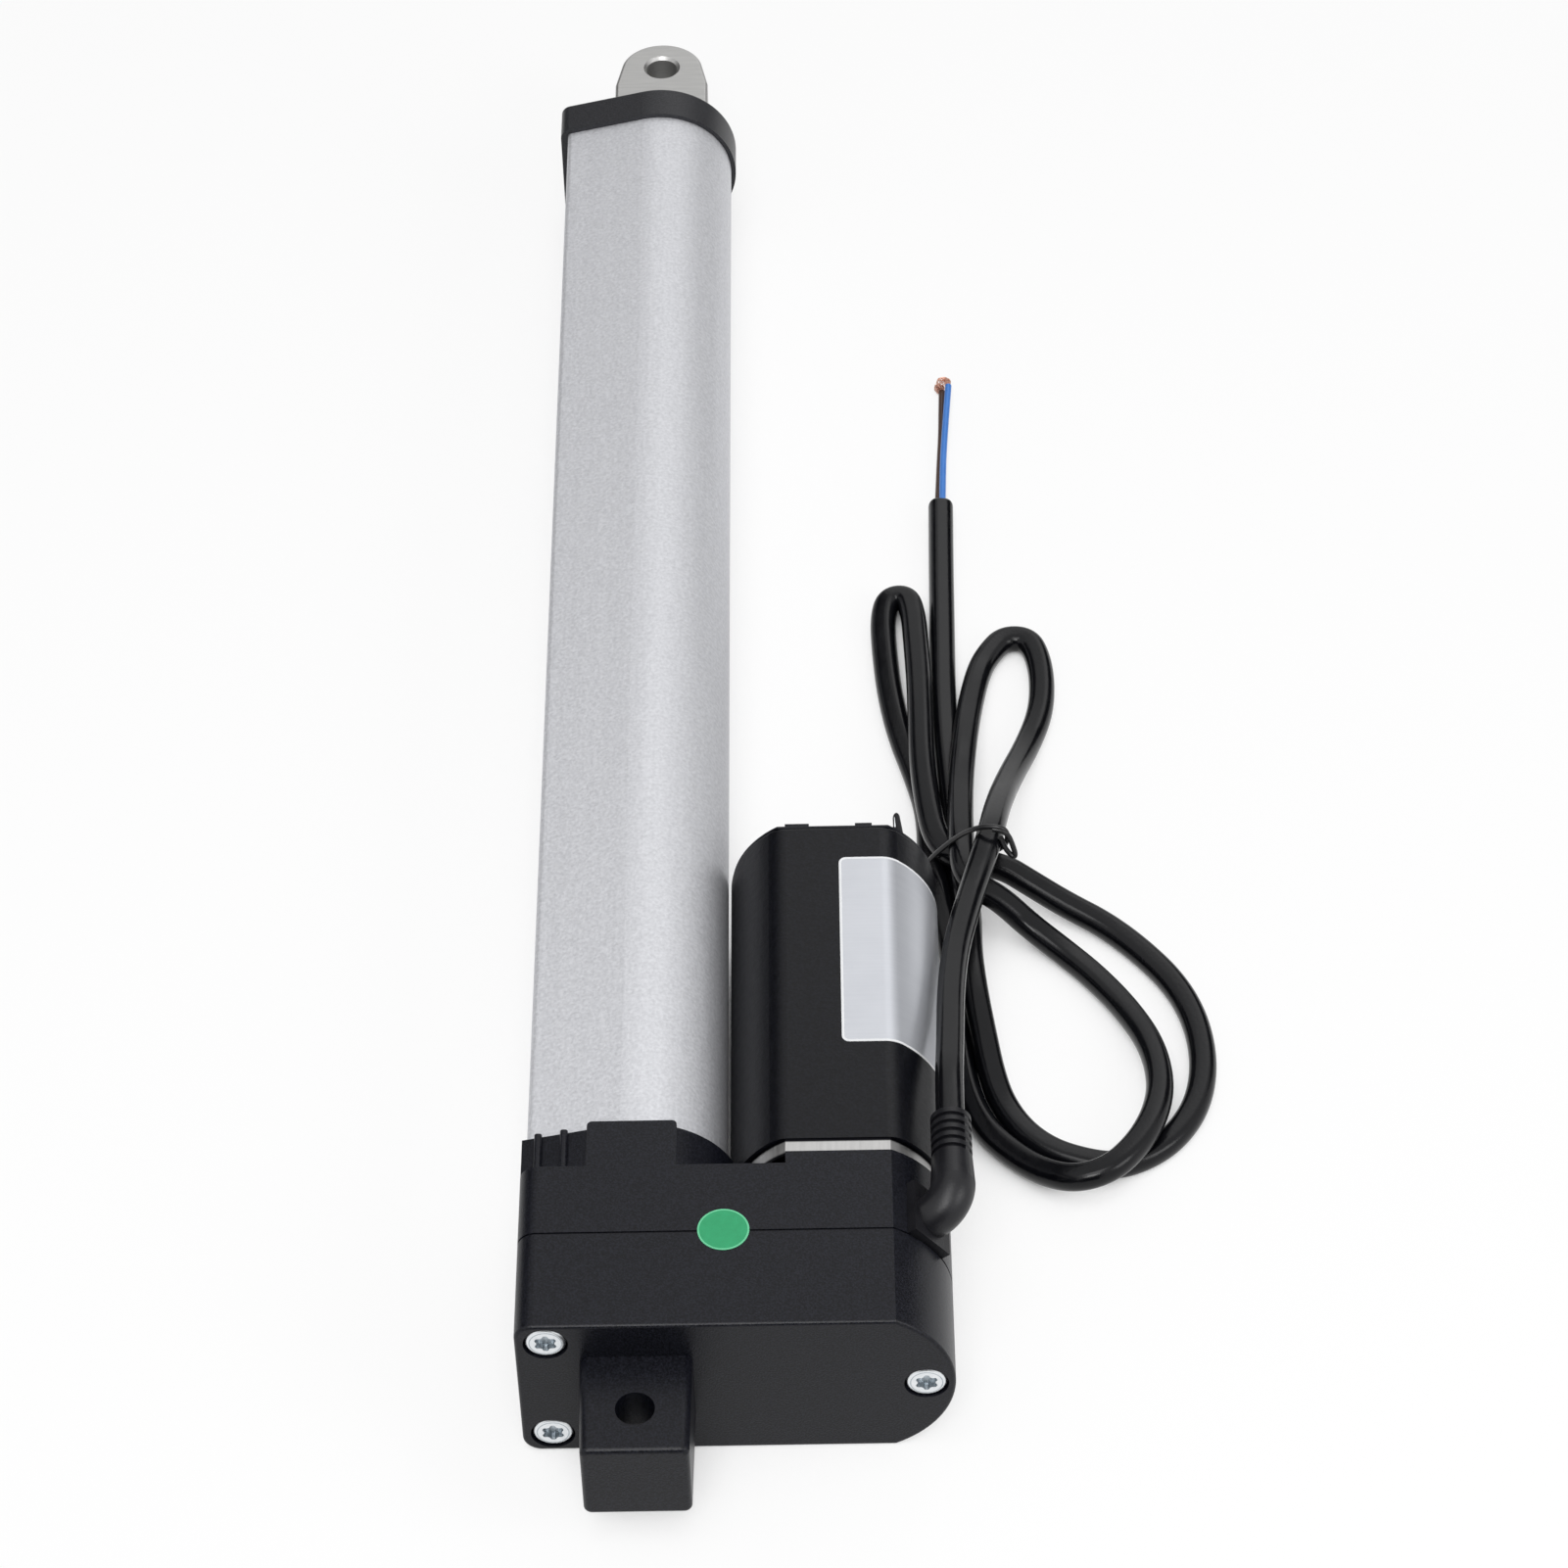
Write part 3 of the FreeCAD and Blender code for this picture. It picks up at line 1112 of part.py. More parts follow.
    pins = []
    flush = size.rod_radius - size.pin_sink
    nut_pin_end = thread_hole + size.pin_thread_gap
    for name, place, spans in (
        ("eye_pin", pin_y, [(-flush, flush)]),
        ("nut_pin", nut_pin_y, [(nut_pin_end, flush), (-flush, -nut_pin_end)]),
    ):
        for number, (start, stop) in enumerate(spans, start=1):
            pin = doc.addObject("Part::Cylinder", f"{name}_{number}")
            pin.setExpression("Radius", size.nut_pin_radius.text)
            pin.setExpression("Height", (stop - start).text)
            pins.append(move(pin, y=place, z=start))
    group("rod_pins", pins)


def lead_screw():
    """Lead screw with its bearing, rings, washer and end guide."""
    screw_rear = size.rear_face - size.screw_end_reach
    on_journal = size.journal_radius + size.press_gap
    node("lead_screw", turn("lead_screw", [
        (0, screw_rear),
        (size.journal_radius, screw_rear),
        (size.journal_radius, size.screw_gear_front),
        (size.shoulder_radius, size.screw_gear_front),
        (size.shoulder_radius, thread_rear),
        (size.screw_radius, thread_rear),
        (size.screw_radius, screw_guide_rear),
        (size.journal_radius, screw_guide_rear),
        (size.journal_radius, screw_guide_front),
        (0, screw_guide_front),
    ]))
    guide_outer = size.rod_bore - 2 * size.running_clearance
    node("screw_end_guide", turned_ring(
        "screw_end_guide", on_journal, guide_outer, screw_guide_rear, screw_guide_front - size.guide_stop_ring
    ))
    node("screw_retaining_ring", turned_ring(
        "screw_retaining_ring", on_journal, size.journal_radius + size.race_wall,
        bearing_rear - size.ring_gap - size.ring_thickness, bearing_rear - size.ring_gap,
    ))
    inner_ring = size.journal_radius + size.race_wall
    outer_ring = size.bearing_radius - size.race_wall
    ball_circle = (inner_ring + outer_ring) / 2
    ball_radius = (outer_ring - inner_ring) / 2 + size.race_depth
    middle = bearing_rear + size.bearing_width / 2
    node("bearing_inner_ring", turned_ring(
        "bearing_inner_ring", on_journal, inner_ring, bearing_rear, bearing_front
    ))
    node("bearing_outer_ring", turned_ring(
        "bearing_outer_ring", outer_ring, size.bearing_radius, bearing_rear, bearing_front
    ))
    for name in ("bearing_inner_ring", "bearing_outer_ring"):
        ring = nodes[name]
        groove_sketch = new_sketch(ring, name + "_race", "XY_Plane")
        draw_circle(groove_sketch, ball_circle, middle, ball_radius + size.race_gap)
        groove = ring.newObject("PartDesign::Groove", name + "_race")
        groove.Profile = groove_sketch
        groove.ReferenceAxis = (groove_sketch, ["V_Axis"])
        groove.Angle = 360
    balls = doc.addObject("Part::Torus", "bearing_balls")
    balls.setExpression("Radius1", ball_circle.text)
    balls.setExpression("Radius2", (ball_radius - size.race_gap).text)
    balls.Placement = FreeCAD.Placement(FreeCAD.Vector(), FreeCAD.Rotation(FreeCAD.Vector(1, 0, 0), 90))
    node("bearing_balls", move(balls, y=middle))
    ring_rear = bearing_front + size.ring_gap
    node("bearing_retaining_ring", turned_ring(
        "bearing_retaining_ring", outer_ring + size.ring_grip, size.bearing_radius + size.ring_grip,
        ring_rear, ring_rear + size.ring_thickness,
    ))
    node("screw_front_bush", turned_ring(
        "screw_front_bush", size.shoulder_radius + size.running_clearance, screw_bush_radius,
        screw_bush_rear, size.case_front,
    ))
    node("screw_thrust_washer", turned_ring(
        "screw_thrust_washer", size.shoulder_radius + size.seat_clearance,
        size.screw_radius + size.washer_width, size.case_front + size.washer_gap, thread_rear,
    ))


def gear_outline(module, teeth, shift, first_tooth):
    """Involute outline about the origin in X and Z, with a tooth centred on the angle first_tooth."""
    pitch_radius = module * teeth / 2
    base_radius = pitch_radius * math.cos(PRESSURE_ANGLE)
    tip_radius = pitch_radius + module * (TOOTH_ADDENDUM + shift)
    root_radius = pitch_radius - module * (TOOTH_DEDENDUM - shift)
    flank_start = max(base_radius, root_radius)
    thickness = module * (math.pi / 2 + 2 * shift * math.tan(PRESSURE_ANGLE)) - size.tooth_backlash.value
    flat_involute = math.tan(PRESSURE_ANGLE) - PRESSURE_ANGLE

    def half_angle(radius):
        slant = math.acos(min(1, base_radius / radius))
        return thickness / (2 * pitch_radius) + flat_involute - math.tan(slant) + slant

    def at(radius, angle):
        return FreeCAD.Vector(radius * math.cos(angle), 0, radius * math.sin(angle))

    middle_radius = (flank_start + tip_radius) / 2
    pitch_angle = 2 * math.pi / teeth
    edges = []
    for tooth in range(teeth):
        centre = first_tooth + tooth * pitch_angle
        rising = [at(r, centre - half_angle(r)) for r in (flank_start, middle_radius, tip_radius)]
        falling = [at(r, centre + half_angle(r)) for r in (tip_radius, middle_radius, flank_start)]
        foot = half_angle(flank_start)
        root_in = at(root_radius, centre - foot)
        root_out = at(root_radius, centre + foot)
        next_root = at(root_radius, centre + pitch_angle - foot)
        if flank_start > root_radius:
            edges.append(Part.LineSegment(root_in, rising[0]).toShape())
        edges.append(Part.Arc(*rising).toShape())
        edges.append(Part.Arc(rising[2], at(tip_radius, centre), falling[0]).toShape())
        edges.append(Part.Arc(*falling).toShape())
        if flank_start > root_radius:
            edges.append(Part.LineSegment(falling[2], root_out).toShape())
        edges.append(Part.Arc(root_out, at(root_radius, centre + pitch_angle / 2), next_root).toShape())
    return Part.Wire(edges)


def gear_solid(module, teeth, shift, first_tooth, start, stop):
    outline = gear_outline(module.value, int(teeth.value), shift, first_tooth)
    outline.translate(FreeCAD.Vector(0, start.value, 0))
    return Part.Face(outline).extrude(FreeCAD.Vector(0, (stop - start).value, 0))


def plain_cylinder(radius, start, stop):
    return Part.makeCylinder(
        as_length(radius).value, (as_length(stop) - start).value,
        FreeCAD.Vector(0, as_length(start).value, 0), FreeCAD.Vector(0, 1, 0),
    )


def gears():
    """Motor pinion, compound idler and screw gear, set in mesh on the line of their axes."""
    shift = size.tooth_shift.value
    screw_gear = gear_solid(
        size.final_module, size.screw_gear_teeth, -shift, 0, size.screw_gear_rear, size.screw_gear_front
    )
    hub_radius = size.journal_radius + size.gear_hub_wall
    screw_gear = screw_gear.fuse(plain_cylinder(hub_radius, bearing_front, size.screw_gear_front))
    screw_gear = screw_gear.cut(plain_cylinder(
        size.journal_radius + size.press_gap, bearing_front - CUT_BEYOND, size.screw_gear_front + CUT_BEYOND
    ))

    towards_screw = math.pi - math.pi / size.idler_pinion_teeth.value
    idler = gear_solid(
        size.final_module, size.idler_pinion_teeth, shift, towards_screw,
        size.idler_rear, size.idler_wheel_rear,
    )
    wheel = gear_solid(
        size.first_module, size.idler_wheel_teeth, -shift, 0, size.idler_wheel_rear, size.idler_wheel_front
    )
    hub = plain_cylinder(size.idler_hub_radius, size.idler_wheel_front, size.idler_front)
    axle_hole = size.axle_radius + size.running_clearance
    idler = idler.fuse([wheel, hub]).cut(plain_cylinder(
        axle_hole, size.idler_rear - CUT_BEYOND, size.idler_front + CUT_BEYOND
    ))

    towards_idler = math.pi - math.pi / size.motor_pinion_teeth.value
    pinion_front = size.idler_wheel_front + size.pinion_overhang
    pinion = gear_solid(
        size.first_module, size.motor_pinion_teeth, shift, towards_idler, pinion_rear, pinion_front
    )
    pinion = pinion.cut(plain_cylinder(shaft_seat, pinion_rear - CUT_BEYOND, pinion_front + CUT_BEYOND))

    for name, shape, across in (
        ("screw_gear", screw_gear, as_length(0)),
        ("idler_gear", idler, idler_x),
        ("motor_pinion", pinion, motor_x),
    ):
        gear = doc.addObject("Part::Feature", name)
        gear.Shape = shape.removeSplitter()
        node(name, move(gear, x=across))

    node("idler_axle", turned_pin(
        "idler_axle", size.axle_radius, size.rear_face + size.axle_floor + size.axle_end_gap,
        size.case_front - size.axle_floor - size.axle_end_gap, x=idler_x,
    ))


def motor_case():
    """Can, front plate and end cap, on the motor's own axis."""
    inner_radius = size.motor_radius - size.motor_wall
    inner_half = size.motor_half_height - size.motor_wall

    def section(radius, half_height):
        return lambda sketch: draw_two_flats(sketch, radius, half_height)

    def crease(edge):
        return runs_along(edge, "y") and near(abs(edge.BoundBox.ZMin), size.motor_half_height)

    can = node("motor_can", new_body("motor_can"))
    can_section = section(size.motor_radius, size.motor_half_height)
    add(can, "can_outside", motor_plate_front, motor_front, can_section)
    round_edges(can, "can_creases", size.motor_crease, crease)
    round_edges(can, "can_far_edge", size.motor_can_round, lambda edge: lies_at(edge, "y", motor_front))
    cut(can, "can_inside", motor_plate_front, motor_front, section(inner_radius, inner_half))
    move(can, x=motor_x)

    plate = node("motor_front_plate", new_body("motor_front_plate"))
    plate_radius = size.motor_radius - size.motor_plate_inset
    plate_half = size.motor_half_height - size.motor_plate_drop
    add(plate, "plate_outside", size.platform_front, motor_plate_front, section(plate_radius, plate_half))
    cut(
        plate, "plate_bush_hole", size.platform_front, motor_plate_front,
        circles([(0, 0)], motor_bush_radius + size.seat_clearance),
    )
    screw_places = [(0, size.motor_screw_spread), (0, -size.motor_screw_spread)]
    cut(
        plate, "plate_screw_holes", size.platform_front, motor_plate_front,
        circles(screw_places, size.motor_screw_radius + size.seat_clearance),
    )
    move(plate, x=motor_x)
    shaft_hole = size.shaft_radius + size.running_clearance / 2
    node("motor_front_bush", turned_ring(
        "motor_front_bush", shaft_hole, motor_bush_radius,
        size.platform_front - size.motor_bush_rear, motor_plate_front + size.motor_bush_front, x=motor_x,
    ))

    cap = node("motor_end_cap", new_body("motor_end_cap"))
    spigot_rear = motor_front - size.motor_spigot
    lip_front = motor_front + size.motor_lip
    spigot = section(inner_radius - size.seat_clearance, inner_half - size.seat_clearance)
    lip = section(size.motor_radius - size.motor_lip_inset, size.motor_half_height - size.motor_lip_inset)
    add(cap, "cap_spigot", spigot_rear, motor_front, spigot)
    add(cap, "cap_lip", motor_front, lip_front, lip)
    add(
        cap, "cap_bearing_boss", spigot_rear, motor_front + size.motor_boss_reach,
        circles([(0, 0)], motor_bush_radius + size.motor_boss_wall),
    )

    def draw_lugs(sketch):
        for left, right, lower, upper in END_CAP_LUGS:
            low = size.motor_half_height - lower
            high = size.motor_half_height - upper
            draw_box(sketch, left, low, right, high)
            draw_box(sketch, -right, -high, -left, -low)

    add(cap, "cap_lugs", motor_front, lip_front + size.motor_lug_height, draw_lugs)
    holder_inner = size.commutator_radius + size.brush_holder_gap
    holder_outer = size.armature_radius - size.brush_holder_inset
    holder_rear = size.commutator_rear + size.brush_holder_start

    def draw_holders(sketch):
        half = size.brush_holder_half
        draw_box(sketch, -half, holder_inner, half, holder_outer)
        draw_box(sketch, -half, -holder_outer, half, -holder_inner)

    def draw_slots(sketch):
        reach = holder_outer - size.brush_slot_wall
        draw_box(sketch, -size.brush_slot_half, -reach, size.brush_slot_half, reach)

    add(cap, "brush_holders", holder_rear, spigot_rear + size.joint_overlap, draw_holders)
    cut(cap, "brush_slots", holder_rear, size.commutator_front - size.brush_slot_end, draw_slots)
    bush_end = motor_front + size.motor_bush_end
    cut(
        cap, "cap_bush_hole", size.commutator_front + size.joint_overlap, bush_end,
        circles([(0, 0)], motor_bush_radius + size.seat_clearance),
    )
    half_thickness = size.terminal_thickness / 2
    half_width = size.terminal_width / 2

    def draw_terminal_slots(sketch):
        across, up = half_thickness + size.seat_clearance, half_width + size.seat_clearance
        for side in (1, -1):
            x, z = side * size.terminal_across, side * size.terminal_up
            draw_box(sketch, x - across, z - up, x + across, z + up)

    cut(cap, "terminal_slots", spigot_rear, lip_front, draw_terminal_slots)
    move(cap, x=motor_x)
    node("motor_rear_bush", turned_ring(
        "motor_rear_bush", shaft_hole, motor_bush_radius,
        size.commutator_front + size.rear_bush_gap, bush_end, x=motor_x,
    ))

    brushes = []
    terminals = []
    brush_inner = size.commutator_radius + size.brush_gap
    brush_height = holder_outer - size.brush_back - brush_inner
    terminal_front = lip_front + size.terminal_reach
    for side in (1, -1):
        brush = doc.addObject("Part::Box", f"brush_{2 - side}")
        brush.setExpression("Length", (2 * size.brush_half).text)
        brush.setExpression("Width", (size.commutator_front - size.commutator_rear - size.brush_trim).text)
        brush.setExpression("Height", brush_height.text)
        low = brush_inner if side > 0 else -brush_inner - brush_height
        brush_rear = size.commutator_rear + size.brush_start
        brushes.append(move(brush, x=motor_x - size.brush_half, y=brush_rear, z=low))

        terminal = new_body(f"terminal_{2 - side}")
        add(
            terminal, f"terminal_{2 - side}_blade", spigot_rear, terminal_front,
            lambda sketch: draw_box(sketch, -half_thickness, -half_width, half_thickness, half_width),
        )
        round_edges(
            terminal, f"terminal_{2 - side}_end", size.terminal_round,
            lambda edge: runs_along(edge, "x") and lies_at(edge, "y", terminal_front),
        )
        across, up = side * size.terminal_across, side * size.terminal_up
        terminals.append(move(terminal, x=motor_x + across, z=up))
    group("motor_brushes", brushes)
    group("motor_terminals", terminals)


def magnets():
    """Two arc magnets bonded inside the can."""
    inner = size.armature_radius + size.magnet_gap
    outer = size.motor_radius - size.motor_wall - size.seat_clearance
    pieces = []
    length = size.core_front - size.core_rear + 2 * size.magnet_reach
    for side in (1, -1):
        magnet = doc.addObject("Part::Cylinder", f"magnet_disc_{2 - side}")
        magnet.setExpression("Radius", outer.text)
        bore = doc.addObject("Part::Cylinder", f"magnet_bore_{2 - side}")
        bore.setExpression("Radius", inner.text)
        for piece in (magnet, bore):
            piece.setExpression("Height", length.text)
            piece.setExpression("Angle", (2 * size.magnet_half_angle).text)
        ring = doc.addObject("Part::Cut", f"magnet_{2 - side}")
        ring.Base = magnet
        ring.Tool = bore
        lay_down = FreeCAD.Rotation(FreeCAD.Vector(1, 0, 0), -90)
        first = size.magnet_half_angle.value if side > 0 else size.magnet_half_angle.value + 180
        aim = FreeCAD.Rotation(FreeCAD.Vector(0, 1, 0), -first)
        ring.Placement = FreeCAD.Placement(FreeCAD.Vector(), aim.multiply(lay_down))
        pieces.append(move(ring, x=motor_x, y=size.core_rear - size.magnet_reach))
    group("motor_magnets", pieces)


def armature():
    """Five-pole armature: core, winding, commutator and shaft."""
    slot_mid = size.armature_radius * size.core_slot_middle
    slot_radius = size.armature_radius * size.core_slot_size
    mouth = size.core_slot_mouth
    past_core = size.armature_radius + CUT_BEYOND
    core = node("armature_core", new_body("armature_core"))
    add(core, "core_disc", size.core_rear, size.core_front, circles([(0, 0)], size.armature_radius))
    opening = cut(
        core, "core_slot_opening", size.core_rear, size.core_front,
        lambda sketch: draw_box(sketch, -mouth, slot_mid, mouth, past_core),
    )
    repeat(core, opening, ARMATURE_POLES)
    pocket = cut(core, "core_slot", size.core_rear, size.core_front, circles([(0, slot_mid)], slot_radius))
    repeat(core, pocket, ARMATURE_POLES)
    cut(core, "core_shaft_hole", size.core_rear, size.core_front, circles([(0, 0)], shaft_seat))
    move(core, x=motor_x)

    winding = node("armature_winding", new_body("armature_winding"))
    coil_outer = slot_mid + slot_radius - size.coil_inset
    coil_rear = size.core_rear - size.coil_reach
    coil_front = size.core_front + size.coil_reach
    coil = circles([(0, 0)], coil_outer)
    add(winding, "rear_coil_head", coil_rear, size.core_rear - size.coil_gap, coil)
    bar = add(
        winding, "coil_bar", size.core_rear - size.coil_bar_reach, size.core_front + size.coil_bar_reach,
        circles([(0, slot_mid)], slot_radius - size.coil_bar_gap),
    )
    repeat(winding, bar, ARMATURE_POLES)
    add(winding, "front_coil_head", size.core_front + size.coil_gap, coil_front, coil)
    round_edges(
        winding, "coil_edges", size.coil_round,
        lambda edge: lies_at(edge, "y", coil_rear) or lies_at(edge, "y", coil_front),
    )
    cut(
        winding, "coil_hole", coil_rear, coil_front,
        circles([(0, 0)], size.shaft_radius + size.coil_shaft_gap),
    )
    move(winding, x=motor_x)

    riser_rear = size.commutator_rear - size.riser_width
    riser_radius = size.commutator_radius + size.riser_height
    node("commutator", turn("commutator", [
        (shaft_seat, riser_rear),
        (riser_radius, riser_rear),
        (riser_radius, size.commutator_rear),
        (size.commutator_radius, size.commutator_rear),
        (size.commutator_radius, size.commutator_front),
        (shaft_seat, size.commutator_front),
    ], x=motor_x))
    node("motor_shaft", turned_pin(
        "motor_shaft", size.shaft_radius, pinion_rear, motor_front - size.shaft_end, x=motor_x
    ))


def limit_switches():
    """Board in the tube's channel, with a switch at each end of the stroke."""
    back = -channel_floor + size.seat_clearance
    face = back + size.board_thickness
    half_width = size.channel_half_height - size.seat_clearance
    board = doc.addObject("Part::Box", "limit_switch_board")
    board.setExpression("Length", size.board_thickness.text)
    board.setExpression("Width", (guide_rear - size.case_front - 2 * size.board_inset).text)
    board.setExpression("Height", (2 * half_width).text)
    node("limit_switch_board", move(board, x=back, y=size.case_front + size.board_inset, z=-half_width))
    key_middle = size.nut_rear + size.nut_flange_length / 2
    top = face + size.switch_thickness
    half_switch, half_plunger = size.switch_half_width, size.plunger_half
    for name, middle in (
        ("retract_limit_switch", key_middle),
        ("extend_limit_switch", key_middle + size.stroke),
    ):
        switch = node(name, new_body(name))
        rear = middle - size.switch_length / 2
        add(
            switch, name + "_case", rear, rear + size.switch_length,
            lambda sketch: draw_box(sketch, face, -half_switch, top, half_switch),
        )
        add(
            switch, name + "_plunger", middle - half_plunger, middle + half_plunger,
            lambda sketch: draw_box(
                sketch, top - size.joint_overlap, -half_plunger, top + size.plunger_reach, half_plunger
            ),
        )


def strain_relief():
    """Moulded elbow with a plate trapped on the housing and a ribbed end, in its own upright frame."""
    length = size.relief_length
    middle = housing_rear + length / 2
    plate = doc.addObject("Part::Box", "relief_plate")
    plate.setExpression("Length", size.relief_plate.text)
    plate.setExpression("Width", length.text)
    plate.setExpression("Height", size.relief_width.text)
    move(plate, x=relief_seat, y=housing_rear, z=-size.relief_width / 2)

    bend_start = relief_axis - size.relief_bend
    neck_start = relief_seat + size.joint_overlap
    neck = doc.addObject("Part::Cylinder", "relief_neck")
    neck.setExpression("Radius", size.relief_radius.text)
    neck.setExpression("Height", (bend_start - neck_start).text)
    neck.Placement = FreeCAD.Placement(FreeCAD.Vector(), FreeCAD.Rotation(FreeCAD.Vector(0, 1, 0), 90))
    move(neck, x=neck_start, y=middle)

    elbow = doc.addObject("Part::Torus", "relief_elbow")
    elbow.setExpression("Radius1", size.relief_bend.text)
    elbow.setExpression("Radius2", size.relief_radius.text)
    elbow.Angle3 = 90
    elbow.Placement = FreeCAD.Placement(FreeCAD.Vector(), FreeCAD.Rotation(FreeCAD.Vector(0, 0, 1), -90))
    move(elbow, x=bend_start, y=middle + size.relief_bend)

    tail_start = middle + size.relief_bend
    grooves = int(size.relief_grooves.value)
    groove_floor = size.relief_tail_radius - size.relief_groove_depth
    last_groove = size.relief_end - size.relief_end_ring - size.relief_groove_width
    first_groove = last_groove - (grooves - 1) * size.relief_groove_pitch
    slant = size.relief_groove_slant
    profile = [(0, tail_start), (size.relief_radius, tail_start)]
    profile.append((size.relief_tail_radius, first_groove))
    for index in range(grooves):
        groove = first_groove + index * size.relief_groove_pitch
        profile.append((groove_floor, groove + slant))
        profile.append((groove_floor, groove + size.relief_groove_width))
        profile.append((size.relief_tail_radius, groove + size.relief_groove_width + slant))
        if index < grooves - 1:
            profile.append((size.relief_tail_radius, groove + size.relief_groove_pitch))
    profile.append((size.relief_tail_radius, size.relief_end))
    profile.append((0, size.relief_end))
    tail = turn("relief_tail", profile, x=relief_axis)

    web_reach = size.relief_tail_radius - size.relief_web_sink
    web_start = first_groove - size.joint_overlap
    web_end = last_groove + size.relief_groove_width + size.joint_overlap
    web = doc.addObject("Part::Box", "relief_web")
    web.setExpression("Length", (2 * web_reach).text)
    web.setExpression("Width", (web_end - web_start).text)
    web.setExpression("Height", size.relief_web.text)
    move(web, x=relief_axis - web_reach, y=web_start, z=-size.relief_web / 2)

    relief = doc.addObject("Part::MultiFuse", "strain_relief")
    relief.Shapes = [plate, neck, elbow, tail, web]
    lean = FreeCAD.Rotation(FreeCAD.Vector(0, 1, 0), -size.relief_angle.value)
    relief.Placement = FreeCAD.Placement(FreeCAD.Vector(), lean)
    node("strain_relief", move(relief, x=motor_x))


def rounded_path(route, closed=False):
    """Straight runs joined by tangent arcs that are as large as the runs allow."""
    points = [FreeCAD.Vector(*point) for point in route]
    count = len(points)
    inner = range(count) if closed else range(1, count - 1)
    arcs = {}
    radii = []
    for index in inner:
        before, here, after = points[index - 1], points[index], points[(index + 1) % count]
        arriving, leaving = here - before, after - here
        shorter = min(arriving.Length, leaving.Length)
        arriving.normalize()
        leaving.normalize()
        turn_angle = arriving.getAngle(leaving)
        reach = ARC_SHARE * shorter
        radius = reach / math.tan(turn_angle / 2)
        radii.append(radius)
        start, stop = here - arriving * reach, here + leaving * reach
        inward = (leaving - arriving).normalize()
        to_centre = radius / math.cos(turn_angle / 2)
        arcs[index] = Part.Arc(start, here + inward * (to_centre - radius), stop)
    edges = []
    last = arcs[count - 1].EndPoint if closed else points[0]
    for index in inner:
        arc = arcs[index]
        edges.append(Part.LineSegment(last, arc.StartPoint).toShape())
        edges.append(arc.toShape())
        last = arc.EndPoint
    if not closed:
        edges.append(Part.LineSegment(last, points[-1]).toShape())
    return Part.Wire(edges), radii


def tube_along(name, route, radius, closed=False):
    """A round solid along a route, its volume compared with its section times its length."""
    path, radii = rounded_path(route, closed)
    start = path.Edges[0].valueAt(path.Edges[0].FirstParameter)
    heading = path.Edges[0].tangentAt(path.Edges[0].FirstParameter)
    section = Part.Wire([Part.makeCircle(radius.value, start, heading)])
    shape = path.makePipeShell([section], True, True)
    expected = math.pi * radius.value ** 2 * path.Length
    print(f"{name}: length {path.Length:.0f} mm, bend radii", [round(bend, 1) for bend in radii])
    if abs(shape.Volume / expected - 1) > 0.01:
        raise ValueError(f"{name} has volume {shape.Volume}, and its path asks for {expected}")
    tube = doc.addObject("Part::Feature", name)
    tube.Shape = shape
    return node(name, tube)


def laid(route):
    """A route's points in the part's frame."""
    table = -case_half_height.value
    return [(motor_x.value + across, along, table + up) for across, along, up in route]


def cord():
    """Cord, its two leads and the wire tie that holds its loops."""
    exit_x, exit_z = motor_x + relief_axis * relief_across, relief_axis * relief_up
    straight_end = size.relief_end + size.cord_straight
    leaving = [(exit_x.value, along.value, exit_z.value) for along in (size.relief_end, straight_end)]
    tube_along("power_cord", leaving + laid(CORD_ROUTE), size.cord_radius)
    tube_along("blue_lead", laid(BLUE_LEAD_ROUTE), size.lead_radius)
    tube_along("brown_lead", laid(BROWN_LEAD_ROUTE), size.lead_radius)
    tube_along("cord_tie", laid(TIE_ROUTE), size.tie_radius, closed=True)


def check_and_write():
    doc.recompute()
    for item in doc.Objects:
        if any(state in ("Invalid", "Error") for state in item.State):
            raise ValueError(f"{item.Label} failed: {item.State}")
    for name, part in nodes.items():
        if part.Shape.isNull() or not part.Shape.isValid() or not part.Shape.Solids:
            raise ValueError(f"{name} has no valid solid")
    os.makedirs("parts", exist_ok=True)
    for name, part in nodes.items():
        part.Shape.exportStep(f"parts/{name}.step")
    print(len(nodes), "nodes written")


rear_cover()
front_housing()
gasket()
screws()
outer_tube()
front_cap()
push_rod()
lead_screw()
gears()
motor_case()
magnets()
armature()
limit_switches()
strain_relief()
cord()
check_and_write()
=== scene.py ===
import bpy
import math
from mathutils import Matrix, Vector


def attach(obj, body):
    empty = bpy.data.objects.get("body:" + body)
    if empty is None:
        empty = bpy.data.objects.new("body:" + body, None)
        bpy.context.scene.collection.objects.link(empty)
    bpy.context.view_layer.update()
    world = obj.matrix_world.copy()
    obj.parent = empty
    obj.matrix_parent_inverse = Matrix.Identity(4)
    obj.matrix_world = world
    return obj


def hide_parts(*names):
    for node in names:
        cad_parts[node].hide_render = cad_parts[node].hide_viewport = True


# Electric linear actuator with a tang, a gearbox, a motor beside its tube, and an eye on its push rod.
# It lies on a table with the rod drawn in, and its cord is looped and tied beside the motor.
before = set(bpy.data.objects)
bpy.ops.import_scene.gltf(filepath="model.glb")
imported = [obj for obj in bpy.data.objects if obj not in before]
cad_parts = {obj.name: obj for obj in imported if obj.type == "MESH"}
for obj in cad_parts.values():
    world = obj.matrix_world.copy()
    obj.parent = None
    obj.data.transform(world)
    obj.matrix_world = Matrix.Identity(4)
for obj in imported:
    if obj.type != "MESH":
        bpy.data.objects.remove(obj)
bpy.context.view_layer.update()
scene = bpy.context.scene


